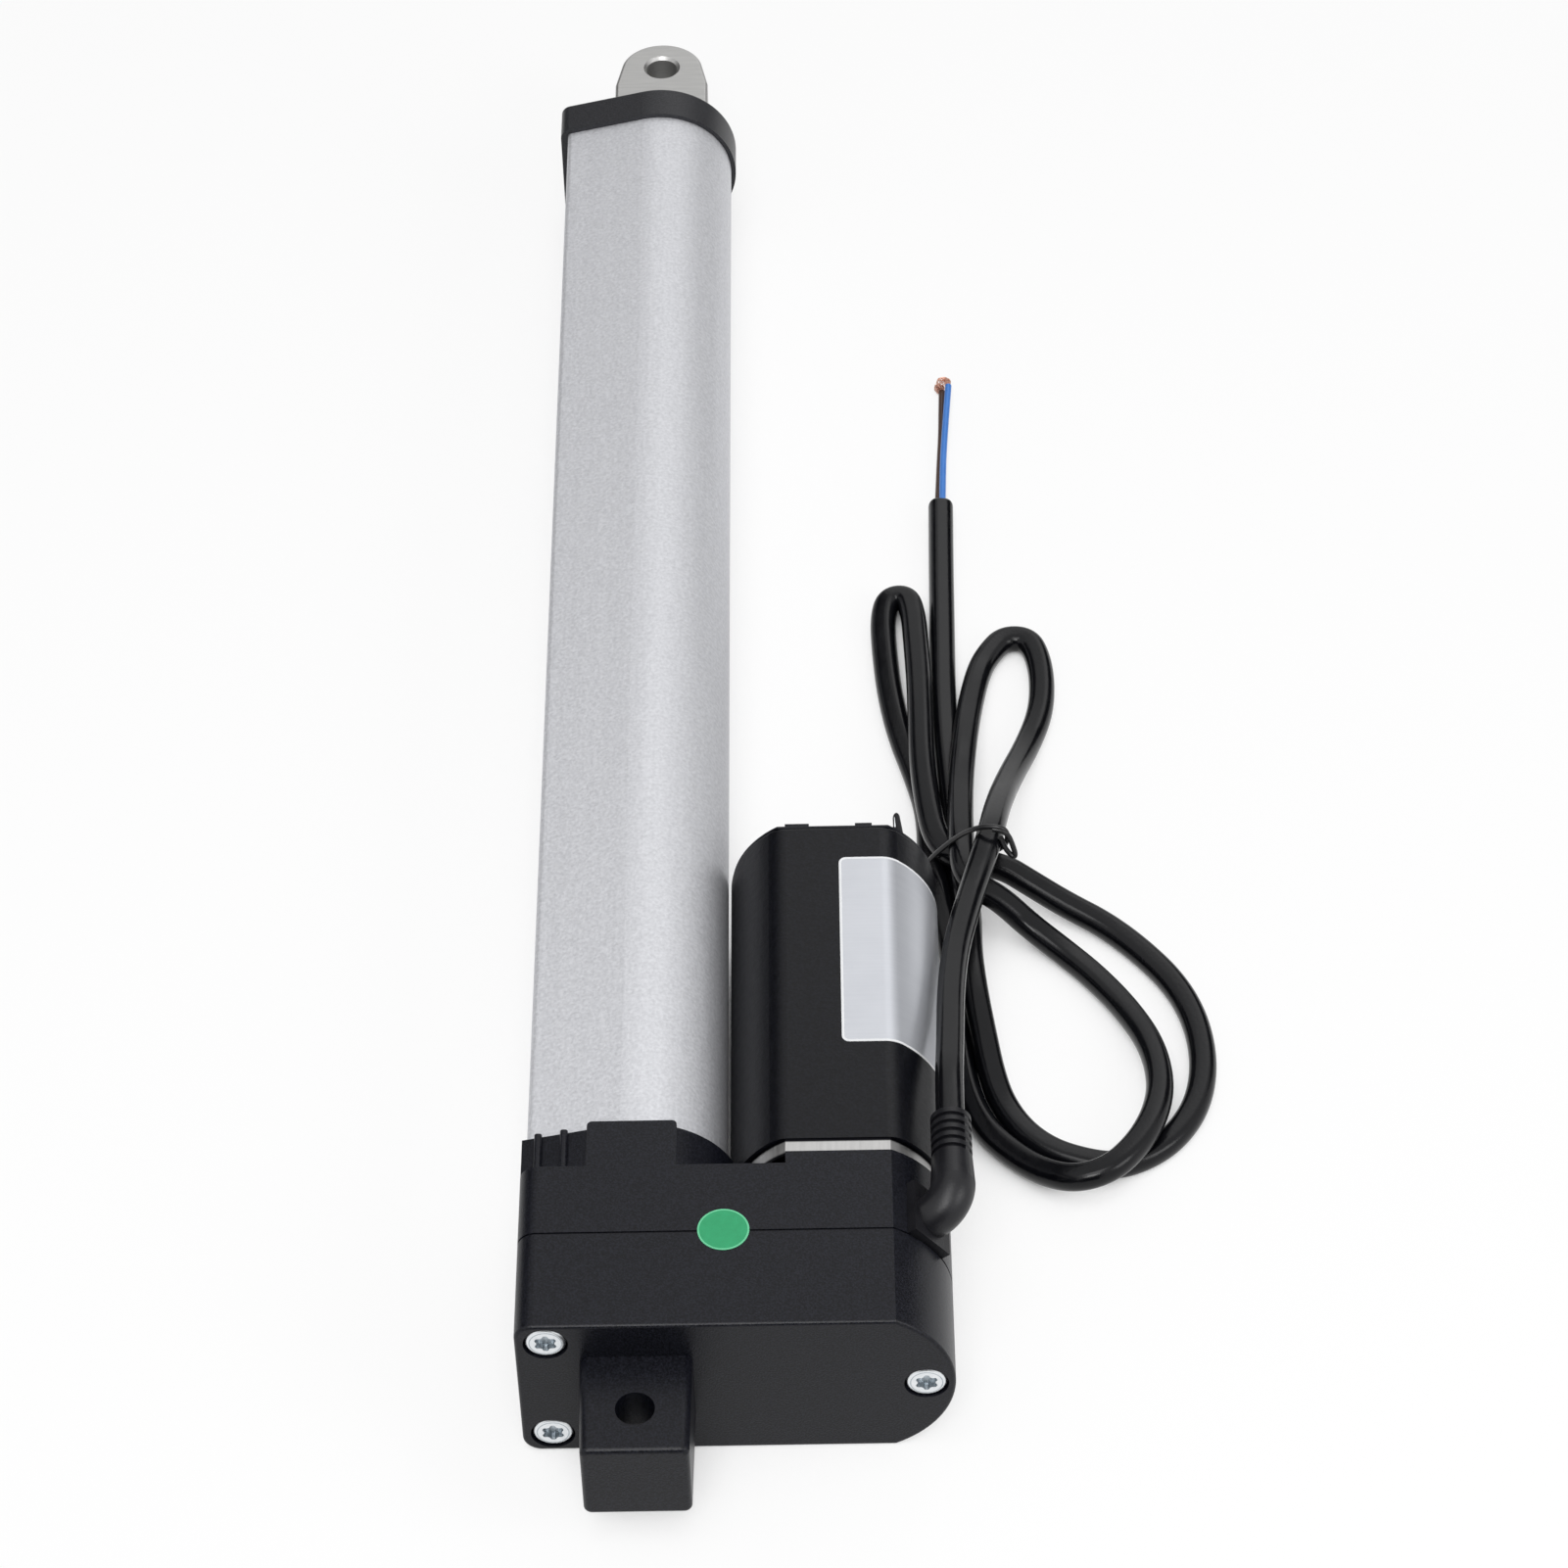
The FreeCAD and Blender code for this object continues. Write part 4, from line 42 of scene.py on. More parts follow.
# Camera. It stands at the gearbox end, above the table, and looks down on the actuator through a long lens.
# It is turned a little, tilted about halfway down, and rolled a little.
CAMERA_PLACE = (0.03364, -0.4747, 0.63991)
CAMERA_TURN, CAMERA_TILT, CAMERA_ROLL = 0.82, 44.24, -1.58
camera_data = bpy.data.cameras.new("camera")
camera_data.sensor_width = 36
camera_data.lens = 111.47
camera = bpy.data.objects.new("camera", camera_data)
scene.collection.objects.link(camera)
turned = Matrix.Rotation(math.radians(CAMERA_TURN), 4, "Z")
tilted = Matrix.Rotation(math.radians(CAMERA_TILT), 4, "X")
rolled = Matrix.Rotation(math.radians(CAMERA_ROLL), 4, "Z")
camera.matrix_world = Matrix.Translation(CAMERA_PLACE) @ turned @ tilted @ rolled
scene.camera = camera


# Table and light. A white table top in a white studio, with a soft lamp beside the camera, one above, one on
# the right and one beyond the table. Three dark boards stand round it, two behind and one in front, so that
# round pieces show a dark edge. The table is seen as white where nothing covers it, and keeps a faint shadow.
# In gaps and close under the actuator, ambient occlusion dims that white, which is a painted shade.
class Value:
    """One output of a node, on which sums can be written as on a number."""

    def __init__(self, nodes, socket):
        self.nodes = nodes
        self.socket = socket

    def combine(self, operation, first, second):
        return self.nodes.node("ShaderNodeMath", {"operation": operation}, {0: first, 1: second})

    def __add__(self, other):
        return self.combine("ADD", self, other)

    def __sub__(self, other):
        return self.combine("SUBTRACT", self, other)

    def __rsub__(self, other):
        return self.combine("SUBTRACT", other, self)

    def __mul__(self, other):
        return self.combine("MULTIPLY", self, other)

    __radd__ = __add__
    __rmul__ = __mul__


class Nodes:
    """The nodes of a material or of the world."""

    def __init__(self, tree):
        self.tree = tree

    def fill(self, socket, value):
        """Set a socket, or link it to another node's output."""
        if isinstance(value, Value):
            self.tree.links.new(value.socket, socket)
        else:
            socket.default_value = value

    def node(self, kind, settings=None, inputs=None, output=0):
        """Add a node: its settings first, then what its sockets hold or are linked to."""
        made = self.tree.nodes.new(kind)
        for setting, value in (settings or {}).items():
            setattr(made, setting, value)
        for socket, value in (inputs or {}).items():
            self.fill(made.inputs[socket], value)
        return Value(self, made.outputs[output])


class Finish(Nodes):
    """A material with the nodes that feed its shader."""

    def __init__(self, name, **constants):
        self.material = bpy.data.materials.new(name)
        self.material.use_nodes = True
        super().__init__(self.material.node_tree)
        self.shader = self.tree.nodes["Principled BSDF"]
        for socket, value in constants.items():
            self.feed(socket.replace("_", " ").title().replace("Ior", "IOR"), value)

    def feed(self, socket, value):
        """Set one of the shader's sockets, or link it."""
        self.fill(self.shader.inputs[socket], value)

    def noise(self, size, stretch=(1, 1, 1), detail=2):
        """Clouds from 0 to 1, of about that size in metres before they are stretched."""
        point = self.node("ShaderNodeTexCoord", output="Object")
        place = self.node("ShaderNodeMapping", {}, {"Vector": point, "Scale": stretch})
        return self.node("ShaderNodeTexNoise", {}, {"Vector": place, "Scale": 1 / size, "Detail": detail})

    def ramp(self, value, low, high):
        """0 below low, 1 above high, and straight between."""
        return self.node("ShaderNodeMapRange", {}, {"Value": value, "From Min": low, "From Max": high})

    def mix(self, factor, first, second):
        """One colour into another."""
        colours = {0: factor, 6: (*first, 1), 7: (*second, 1)}
        return self.node("ShaderNodeMix", {"data_type": "RGBA"}, colours, 2)

    def bump(self, height, depth):
        """Surface relief of that depth in metres."""
        inputs = {"Height": height, "Strength": 1, "Distance": depth}
        self.feed("Normal", self.node("ShaderNodeBump", {}, inputs))


TABLE_HEIGHT = -0.0165
TABLE_SIZE = 12
TABLE_GLOW = 0.82
SHADE_REACH = 0.05
SHADED, OPEN = 0.06, 0.45
STUDIO_LEVEL = 0.45
LAMP_TARGET = Vector((0.03, 0.15, 0))
bpy.ops.object.select_all(action="DESELECT")
bpy.ops.mesh.primitive_plane_add(size=TABLE_SIZE, location=(0, 0, TABLE_HEIGHT))
table = bpy.context.object
table.name = "table_top"
table_finish = Finish("table_white", base_color=(0.9, 0.9, 0.9, 1), roughness=0.8)
seen = table_finish.node("ShaderNodeLightPath", output="Is Camera Ray")
mirrored = table_finish.node("ShaderNodeLightPath", output="Is Glossy Ray")
glow = table_finish.node("ShaderNodeEmission", {}, {"Color": (1, 1, 1, 1), "Strength": 1})
lit = Value(table_finish, table_finish.shader.outputs["BSDF"])
# Ambient occlusion dims the table's white in gaps and close under the actuator: painted shade.
shelter = table_finish.node("ShaderNodeAmbientOcclusion", {"samples": 6}, {"Distance": SHADE_REACH}, "AO")
clear = table_finish.ramp(shelter, SHADED, OPEN)
white = TABLE_GLOW * clear * (seen + mirrored)
blended = table_finish.node("ShaderNodeMixShader", {}, {0: white, 1: lit, 2: glow})
table_finish.fill(table_finish.tree.nodes["Material Output"].inputs["Surface"], blended)
table.data.materials.append(table_finish.material)

world = bpy.data.worlds.new("studio")
scene.world = world
world.use_nodes = True
studio = Nodes(world.node_tree)
seen = studio.node("ShaderNodeLightPath", output="Is Camera Ray")
mirrored = studio.node("ShaderNodeLightPath", output="Is Glossy Ray")
levels = {"Value": seen + mirrored, "To Min": STUDIO_LEVEL, "To Max": 1}
sky = world.node_tree.nodes["Background"]
studio.fill(sky.inputs["Strength"], studio.node("ShaderNodeMapRange", {}, levels))
studio.fill(sky.inputs["Color"], (1, 1, 1, 1))


def soft_lamp(name, place, size, power):
    """A soft oblong lamp, turned to the middle of the actuator."""
    data = bpy.data.lights.new(name, "AREA")
    data.shape = "RECTANGLE"
    data.size, data.size_y = size
    data.energy = power
    lamp = bpy.data.objects.new(name, data)
    scene.collection.objects.link(lamp)
    lamp.location = place
    lamp.rotation_mode = "QUATERNION"
    lamp.rotation_quaternion = (LAMP_TARGET - Vector(place)).to_track_quat("-Z", "Y")


soft_lamp("key_lamp", (-0.04, -0.7, 1.1), (0.5, 0.4), 6.5)
soft_lamp("top_lamp", (-0.1, -0.15, 1.4), (0.7, 0.7), 5.5)
soft_lamp("side_lamp", (0.9, -0.3, 0.6), (0.5, 0.5), 3)
soft_lamp("far_lamp", (0.4, 1.3, 1.1), (0.6, 0.6), 1.1)
board_finish = Finish("dark_board", base_color=(0.03, 0.03, 0.03, 1), roughness=0.9, specular_ior_level=0.0)
for side, across, along, turn, size in (
    ("left", -0.86, 1.12, 38, 1.2), ("right", 1, 1.12, -42, 0.9), ("front", 0, -1.5, 0, 1.3),
):
    bpy.ops.object.select_all(action="DESELECT")
    bpy.ops.mesh.primitive_plane_add(
        size=size, location=(across, along, TABLE_HEIGHT + size / 2),
        rotation=(math.pi / 2, 0, math.radians(turn)),
    )
    dark_board = bpy.context.object
    dark_board.name = f"{side}_dark_board"
    dark_board.data.materials.append(board_finish.material)
    dark_board.visible_camera = False
scene.view_settings.view_transform = "Standard"


# Gearbox cover and housing, and the cap at the tube's other end. Glass-filled nylon, moulded in tools with a
# fine spark-eroded skin, so that it is an even dull black with a very fine grain. The cap's copy of the nylon
# is set a little greyer, which is painted light for the brighter sheen that the cap catches.
def dress(finish, *names):
    """Give CAD nodes their finish."""
    for name in names:
        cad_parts[name].data.materials[0] = finish.material


def moulded(name, dark, light):
    """Moulded nylon, between two shades of black."""
    finish = Finish(name, specular_ior_level=0.24)
    grain = finish.noise(0.00032, detail=3)
    clouds = finish.noise(0.025)
    finish.feed("Base Color", finish.mix(finish.ramp(grain, 0.4, 0.65), dark, light))
    finish.feed("Roughness", 0.26 + 0.14 * grain + 0.06 * clouds)
    finish.bump(grain, 0.00004)
    return finish


moulding = moulded("moulded_nylon", (0.0008, 0.001, 0.0028), (0.0085, 0.0092, 0.0145))
dress(moulding, "gearbox_rear_cover", "gearbox_front_housing", "motor_end_cap")
# The cap's lighter copy of the nylon is painted light.
dress(moulded("cap_nylon", (0.016, 0.0162, 0.0185), (0.028, 0.0285, 0.033)), "front_cap")


# Gasket between the two halves of the gearbox, and the lip that wipes the rod. Both are black rubber. The
# gasket is cut from sheet and held by the cover's screws, and the lip is moulded and pushed into the cap.
rubber = Finish("black_rubber", specular_ior_level=0.25)
skin = rubber.noise(0.0008, detail=3)
rubber.feed("Base Color", rubber.mix(skin, (0.007, 0.007, 0.0085), (0.013, 0.013, 0.0155)))
rubber.feed("Roughness", 0.5 + 0.2 * skin)
rubber.bump(skin, 0.00005)
dress(rubber, "housing_gasket", "rod_wiper_seal")


# Screws. Pan heads with a six-lobed socket, cold headed from steel wire and zinc plated bright. Three hold
# the gearbox cover in its sunk seats, and two smaller ones hold the front cap in the ports of the tube.
def pick(piece, kind, test):
    """Select the points, edges or faces of a piece that pass a test of their place, in edit mode."""
    bpy.ops.object.mode_set(mode="EDIT")
    bpy.ops.mesh.select_mode(type=kind)
    bpy.ops.mesh.select_all(action="DESELECT")
    bpy.ops.object.mode_set(mode="OBJECT")
    points = piece.data.vertices
    if kind == "FACE":
        for face in piece.data.polygons:
            face.select = test(face.center, face.normal)
    elif kind == "EDGE":
        for edge in piece.data.edges:
            edge.select = all(test(points[end].co) for end in edge.vertices)
    else:
        for point in points:
            point.select = test(point.co)
    bpy.ops.object.mode_set(mode="EDIT")


def add_to_body(piece, body, slot, *finishes):
    """Finish a piece and let it move with a body. The slot is not used."""
    for finish in finishes:
        piece.data.materials.append(finish.material)
    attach(piece, body)


zinc = Finish("zinc_plating", metallic=1.0)
spangle = zinc.noise(0.0012, detail=3)
zinc.feed("Base Color", zinc.mix(spangle, (0.7, 0.73, 0.76), (0.9, 0.92, 0.93)))
zinc.feed("Roughness", 0.24 + 0.16 * spangle)
zinc.bump(zinc.noise(0.0004), 0.00002)
# The sockets, and a thin ring at the inner edge of each head's rounding, get this darker steel: painted shade
# of the recess and of a groove.
socket_finish = Finish("socket_shade", metallic=1.0, roughness=0.35)
socket_mottle = socket_finish.noise(0.0005, detail=3)
socket_finish.feed("Base Color", socket_finish.mix(socket_mottle, (0.3, 0.34, 0.37), (0.62, 0.66, 0.69)))
NEAR = 1e-5


def lobed_screw(name, face, outward, head_radius, head_height, shank_radius, shank_end):
    """A screw along the actuator, from the middle of its head's outer face to the end of its shank."""
    x, y, z = face
    axis = Vector((x, 0, z))
    rounding = 0.2 * head_radius
    ring_width = 0.06 * head_radius
    ring_reach = 0.75 * head_radius
    land_width = 0.18 * head_radius
    socket_reach = 0.6 * head_radius
    socket_depth = 0.55 * head_height
    socket_taper = 0.85
    tip_taper = 0.7
    bpy.ops.object.select_all(action="DESELECT")
    bpy.ops.mesh.primitive_cylinder_add(
        vertices=48, radius=head_radius, depth=head_height,
        location=(x, y - outward * head_height / 2, z), rotation=(-outward * math.pi / 2, 0, 0),
    )
    screw = bpy.context.object
    screw.name = name
    bpy.ops.object.transform_apply(location=True, rotation=True, scale=True)

    def at_face(place):
        return abs(place.y - y) < NEAR

    def off_axis(place):
        return (Vector((place.x, 0, place.z)) - axis).length

    def face_middle(place, normal):
        return at_face(place) and off_axis(place) < NEAR

    def lobe(place):
        return math.cos(6 * math.atan2(place.x - x, place.z - z))

    pick(screw, "EDGE", at_face)
    bpy.ops.mesh.bevel(offset=rounding, segments=4)
    pick(screw, "FACE", face_middle)
    bpy.ops.mesh.inset(thickness=ring_width)
    bpy.ops.mesh.inset(thickness=land_width)
    # The socket's edge is drawn in between the lobes, and more so halfway between them.
    for below, share in ((0.1, 0.9), (-0.5, 0.86)):
        pick(
            screw, "VERT",
            lambda place: at_face(place) and off_axis(place) < socket_reach and lobe(place) < below,
        )
        bpy.ops.transform.resize(value=(share, share, share), center_override=face)
    pick(screw, "FACE", face_middle)
    sink = {"value": (0, -outward * socket_depth, 0)}
    bpy.ops.mesh.extrude_region_move(TRANSFORM_OT_translate=sink)
    bpy.ops.transform.resize(value=(socket_taper, 1, socket_taper), center_override=face)
    screw.data.materials.append(zinc.material)
    screw.data.materials.append(socket_finish.material)

    # Faces inside the socket, and the thin ring round the head's face, take the painted shade.
    def shaded(place, normal):
        depth = outward * (y - place.y)
        in_socket = off_axis(place) < socket_reach and NEAR < depth < 0.7 * head_height
        in_ring = at_face(place) and off_axis(place) > ring_reach
        return in_socket or in_ring

    def underside(place, normal):
        return normal.y * outward < -0.9 and off_axis(place) < NEAR and abs(place.y - y) > 0.9 * head_height

    pick(screw, "FACE", shaded)
    screw.active_material_index = 1
    bpy.ops.object.material_slot_assign()
    pick(screw, "FACE", underside)
    bpy.ops.mesh.inset(thickness=head_radius - shank_radius)
    shank = {"value": (0, shank_end - y + outward * head_height, 0)}
    bpy.ops.mesh.extrude_region_move(TRANSFORM_OT_translate=shank)
    bpy.ops.transform.resize(value=(tip_taper, 1, tip_taper), center_override=(x, shank_end, z))
    bpy.ops.object.mode_set(mode="OBJECT")
    bpy.ops.object.shade_smooth_by_angle(angle=math.radians(35))
    return screw


def copies(piece, *shifts):
    """A piece and its copies, each with its own mesh, shifted from it."""
    pieces = [piece]
    for count, shift in enumerate(shifts, 2):
        copy = bpy.data.objects.new(f"{piece.name[:-1]}{count}", piece.data.copy())
        scene.collection.objects.link(copy)
        copy.data.transform(Matrix.Translation(shift))
        pieces.append(copy)
    return pieces


cover_screw = lobed_screw(
    "cover_screw_1", face=(-0.0146, 0.0107, -0.012), outward=-1,
    head_radius=0.00345, head_height=0.0022, shank_radius=0.0017, shank_end=0.0405,
)
cap_screw = lobed_screw(
    "cap_screw_1", face=(-0.0152, 0.3364, -0.0076), outward=1,
    head_radius=0.0024, head_height=0.0013, shank_radius=0.0012, shank_end=0.3245,
)
for screw in copies(cover_screw, (0, 0, 0.024), (0.062, 0, 0.012)):
    add_to_body(screw, "housing", "zinc_steel")
    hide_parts("cover_screws")
for screw in copies(cap_screw, (0, 0, 0.0152)):
    add_to_body(screw, "housing", "zinc_steel")
    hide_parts("cap_screws")


# Round sticker over the joint of the gearbox. Thin green vinyl with a lighter rim, cut with a round die and
# left bare.
STICKER_PLACE = (0.0144, 0.0302, 0.0165)
STICKER_RADIUS = 0.0043
STICKER_RIM = 0.0003
STICKER_THICKNESS = 0.00012
bpy.ops.object.select_all(action="DESELECT")
bpy.ops.mesh.primitive_circle_add(
    vertices=72, radius=STICKER_RADIUS, fill_type="NGON", location=STICKER_PLACE
)
sticker = bpy.context.object
sticker.name = "round_sticker"
bpy.ops.object.transform_apply(location=True, rotation=True, scale=True)
sticker_rim = Finish("sticker_rim", roughness=0.5)
fade = sticker_rim.noise(0.001)
sticker_rim.feed("Base Color", sticker_rim.mix(fade, (0.1, 0.5, 0.25), (0.17, 0.62, 0.35)))
sticker_green = Finish("sticker_green", roughness=0.45)
ink = sticker_green.noise(0.0009, detail=3)
sticker_green.feed("Base Color", sticker_green.mix(ink, (0.014, 0.27, 0.105), (0.022, 0.35, 0.145)))
sticker_green.bump(ink, 0.00001)
add_to_body(sticker, "housing", "charcoal_plastic", sticker_rim, sticker_green)
bpy.context.view_layer.objects.active = sticker
pick(sticker, "FACE", lambda place, normal: True)
bpy.ops.mesh.inset(thickness=STICKER_RIM)
sticker.active_material_index = 1
bpy.ops.object.material_slot_assign()
bpy.ops.object.mode_set(mode="OBJECT")


def thicken(piece, thickness):
    """Give a sheet its thickness, outwards."""
    bpy.ops.object.select_all(action="DESELECT")
    bpy.context.view_layer.objects.active = piece
    piece.select_set(True)
    wall = piece.modifiers.new("thickness", "SOLIDIFY")
    wall.thickness = thickness
    wall.offset = 1
    bpy.ops.object.modifier_apply(modifier=wall.name)
    bpy.ops.object.shade_smooth_by_angle(angle=math.radians(30))


thicken(sticker, STICKER_THICKNESS)


# Spindle bearing, its rings, and the other ground steel of the gearbox: lead screw, idler axle, washer,
# pins and motor shaft. Turned and ground bar, so that fine lines run round each piece.
ground_steel = Finish("ground_steel", metallic=1.0)
lines = ground_steel.noise(0.0003, (0.02, 1, 0.02), 3)
ground_steel.feed("Base Color", ground_steel.mix(lines, (0.5, 0.5, 0.51), (0.66, 0.66, 0.66)))
ground_steel.feed("Roughness", 0.2 + 0.16 * lines)
ground_steel.bump(lines, 0.00001)
dress(
    ground_steel, "bearing_outer_ring", "bearing_balls", "bearing_inner_ring", "bearing_retaining_ring",
    "screw_retaining_ring", "lead_screw", "screw_thrust_washer", "idler_axle", "rod_pins", "motor_shaft",
)


# Idler and pinion. Steel, sintered and hobbed, and oiled, so that they are a little darker than the shafts.
# The pinion is pressed on the motor's shaft, and the idler turns on its axle.
gear_steel = Finish("gear_steel", metallic=1.0)
cut = gear_steel.noise(0.0006, (1, 0.15, 1), 3)
gear_steel.feed("Base Color", gear_steel.mix(cut, (0.2, 0.2, 0.205), (0.4, 0.395, 0.385)))
gear_steel.feed("Roughness", 0.3 + 0.2 * cut)
gear_steel.bump(cut, 0.00002)
dress(gear_steel, "idler_gear", "motor_pinion")


# Screw gear, drive nut, guide bush and end guide. White acetal, moulded and slightly cloudy. The gear is
# pressed on the screw, and the nut is pinned in the rod.
acetal = Finish("white_acetal", roughness=0.4)
haze = acetal.noise(0.006, detail=3)
acetal.feed("Base Color", acetal.mix(haze, (0.66, 0.65, 0.6), (0.76, 0.75, 0.71)))
acetal.bump(acetal.noise(0.0007), 0.00002)
dress(acetal, "screw_gear", "drive_nut", "rod_guide_bush", "screw_end_guide")


# Plain bearings of the spindle and of the motor. Sintered bronze, full of fine oil-filled pores, and pushed
# into their seats.
bronze = Finish("sintered_bronze", metallic=1.0)
pores = bronze.noise(0.0003, detail=4)
bronze.feed("Base Color", bronze.mix(bronze.ramp(pores, 0.3, 0.6), (0.13, 0.075, 0.03), (0.46, 0.31, 0.14)))
bronze.feed("Roughness", 0.55 - 0.2 * pores)
bronze.bump(pores, 0.00003)
dress(bronze, "screw_front_bush", "motor_front_bush", "motor_rear_bush")


# Tube. Extruded aluminium with a flat side, blasted with fine beads and anodised clear, so that it is an
# even satin silver with a fine grain and faint lines of the extrusion along it.
anodised = Finish("blasted_anodised_aluminium", metallic=0.85)
beads = anodised.noise(0.0006, detail=3)
draw = anodised.noise(0.0012, (1, 0.01, 1), 2)
shade = 0.88 * beads + 0.12 * draw
anodised.feed(
    "Base Color", anodised.mix(anodised.ramp(shade, 0.3, 0.7), (0.55, 0.555, 0.58), (0.69, 0.695, 0.72))
)
anodised.feed("Roughness", 0.54 + 0.16 * beads)
anodised.bump(beads, 0.00005)
dress(anodised, "outer_tube")


# Limit switches on their board in the tube's channel. Green glass-fibre board with tracks along it, and
# switches in black plastic.
board = Finish("green_board", roughness=0.35)
tracks = board.ramp(board.noise(0.0009, (1, 0.03, 1), 1), 0.48, 0.52)
board.feed("Base Color", board.mix(tracks, (0.008, 0.075, 0.03), (0.02, 0.17, 0.07)))
board.bump(tracks, 0.00002)
dress(board, "limit_switch_board")
switch_case = Finish("switch_case", specular_ior_level=0.4)
matt = switch_case.noise(0.0005, detail=3)
switch_case.feed("Base Color", switch_case.mix(matt, (0.008, 0.008, 0.009), (0.02, 0.02, 0.022)))
switch_case.feed("Roughness", 0.4 + 0.2 * matt)
dress(switch_case, "retract_limit_switch", "extend_limit_switch")


# Push rod. Drawn steel tube, ground and plated, with a soft gloss and fine lines along it. It slides in the
# bush of the front cap.
rod_finish = Finish("plated_rod", metallic=1.0)
drawn = rod_finish.noise(0.0004, (1, 0.012, 1), 3)
rod_finish.feed("Base Color", rod_finish.mix(drawn, (0.4, 0.4, 0.41), (0.52, 0.52, 0.525)))
rod_finish.feed("Roughness", 0.26 + 0.12 * drawn)
rod_finish.bump(drawn, 0.000012)
dress(rod_finish, "extension_rod")


# Eye at the rod's end. Turned aluminium bar with two milled flats and a cross hole, left as machined, and
# pinned in the rod.
eye_finish = Finish("machined_aluminium", metallic=0.9)
milled = eye_finish.noise(0.0005, (0.08, 1, 1), 3)
eye_finish.feed("Base Color", eye_finish.mix(milled, (0.36, 0.358, 0.353), (0.49, 0.487, 0.478)))
eye_finish.feed("Roughness", 0.34 + 0.14 * milled)
eye_finish.bump(milled, 0.00002)
dress(eye_finish, "rod_end_eye")


# Motor can and its magnets. Deep-drawn steel with two flats, painted satin black with a little orange peel.
# The magnets are pressed dark ferrite.
paint = Finish("motor_paint", specular_ior_level=0.22)
peel = paint.noise(0.0013, detail=2)
speck = paint.noise(0.00045, detail=3)
specks = paint.ramp(speck, 0.4, 0.65)
paint.feed("Base Color", paint.mix(specks, (0.0006, 0.0007, 0.0018), (0.0036, 0.004, 0.0068)))
paint.feed("Roughness", 0.28 + 0.14 * peel)
paint.bump(0.6 * peel + 0.4 * speck, 0.00005)
dress(paint, "motor_can")
ferrite = Finish("ferrite", specular_ior_level=0.3)
pressed = ferrite.noise(0.0007, detail=4)
ferrite.feed("Base Color", ferrite.mix(pressed, (0.03, 0.03, 0.032), (0.065, 0.065, 0.068)))
ferrite.feed("Roughness", 0.5 + 0.2 * pressed)
ferrite.bump(pressed, 0.00003)
dress(ferrite, "motor_magnets")


# Front plate, terminals and screws of the motor. Stamped steel, zinc plated. The plate's edge has shear
# marks, and a near-black band at the can and at the gearbox, which is painted shade of the two joints. Each
# terminal has a black sleeve shrunk on it.
SLEEVE_X, SLEEVE_Y, SLEEVE_Z = 0.0454, 0.1268, 0.0102
SLEEVE_RADIUS = 0.001
SLEEVE_LENGTH = 0.0058
SLEEVE_TIP = SLEEVE_Y + SLEEVE_LENGTH / 2
SLEEVE_ROUNDING = 0.0007
SLEEVE_PINCH = 0.0012
SECOND_SLEEVE = (-0.023, 0, -0.0204)
PLATE_GEARBOX_SHADE_END = (0.0473, 0.0477)
PLATE_CAN_SHADE_START = (0.0496, 0.0499)
dress(zinc, "motor_terminals", "motor_screws")
bpy.ops.object.select_all(action="DESELECT")
bpy.ops.mesh.primitive_cylinder_add(
    vertices=32, radius=SLEEVE_RADIUS, depth=SLEEVE_LENGTH,
    location=(SLEEVE_X, SLEEVE_Y, SLEEVE_Z), rotation=(math.pi / 2, 0, 0),
)
sleeve = bpy.context.object
sleeve.name = "terminal_sleeve_1"
sleeve.scale = (0.95, 1.5, 1)
bpy.ops.object.transform_apply(location=True, rotation=True, scale=True)
pick(sleeve, "EDGE", lambda place: place.y > SLEEVE_TIP - NEAR)
bpy.ops.mesh.bevel(offset=SLEEVE_ROUNDING, segments=5)
pick(sleeve, "VERT", lambda place: place.y > SLEEVE_TIP - SLEEVE_PINCH)
bpy.ops.transform.resize(value=(0.7, 1, 0.85), center_override=(SLEEVE_X, SLEEVE_TIP, SLEEVE_Z + 0.0002))
bpy.ops.transform.translate(value=(-0.0004, 0, 0.0002))
bpy.ops.object.mode_set(mode="OBJECT")
bpy.ops.object.shade_smooth_by_angle(angle=math.radians(40))
for sleeve in copies(sleeve, SECOND_SLEEVE):
    add_to_body(sleeve, "housing", "black_rubber", rubber)
plate_finish = Finish("plated_plate", metallic=1.0)
shear = plate_finish.noise(0.0007, (1, 0.12, 1), 3)
point = plate_finish.node("ShaderNodeTexCoord", output="Object")
along = plate_finish.node("ShaderNodeSeparateXYZ", {}, {"Vector": point}, "Y")
# Near black at both ends of the plate: painted shade of its joints with the gearbox and the can.
clear_of_painted_shade = plate_finish.ramp(along, *PLATE_GEARBOX_SHADE_END) - plate_finish.ramp(along, *PLATE_CAN_SHADE_START)
tone = clear_of_painted_shade * (0.74 + 0.3 * shear)
plate_finish.feed("Base Color", plate_finish.mix(tone, (0.006, 0.006, 0.008), (0.55, 0.545, 0.538)))
plate_finish.feed("Roughness", 0.3 + 0.2 * shear)
plate_finish.bump(shear, 0.00003)
dress(plate_finish, "motor_front_plate")


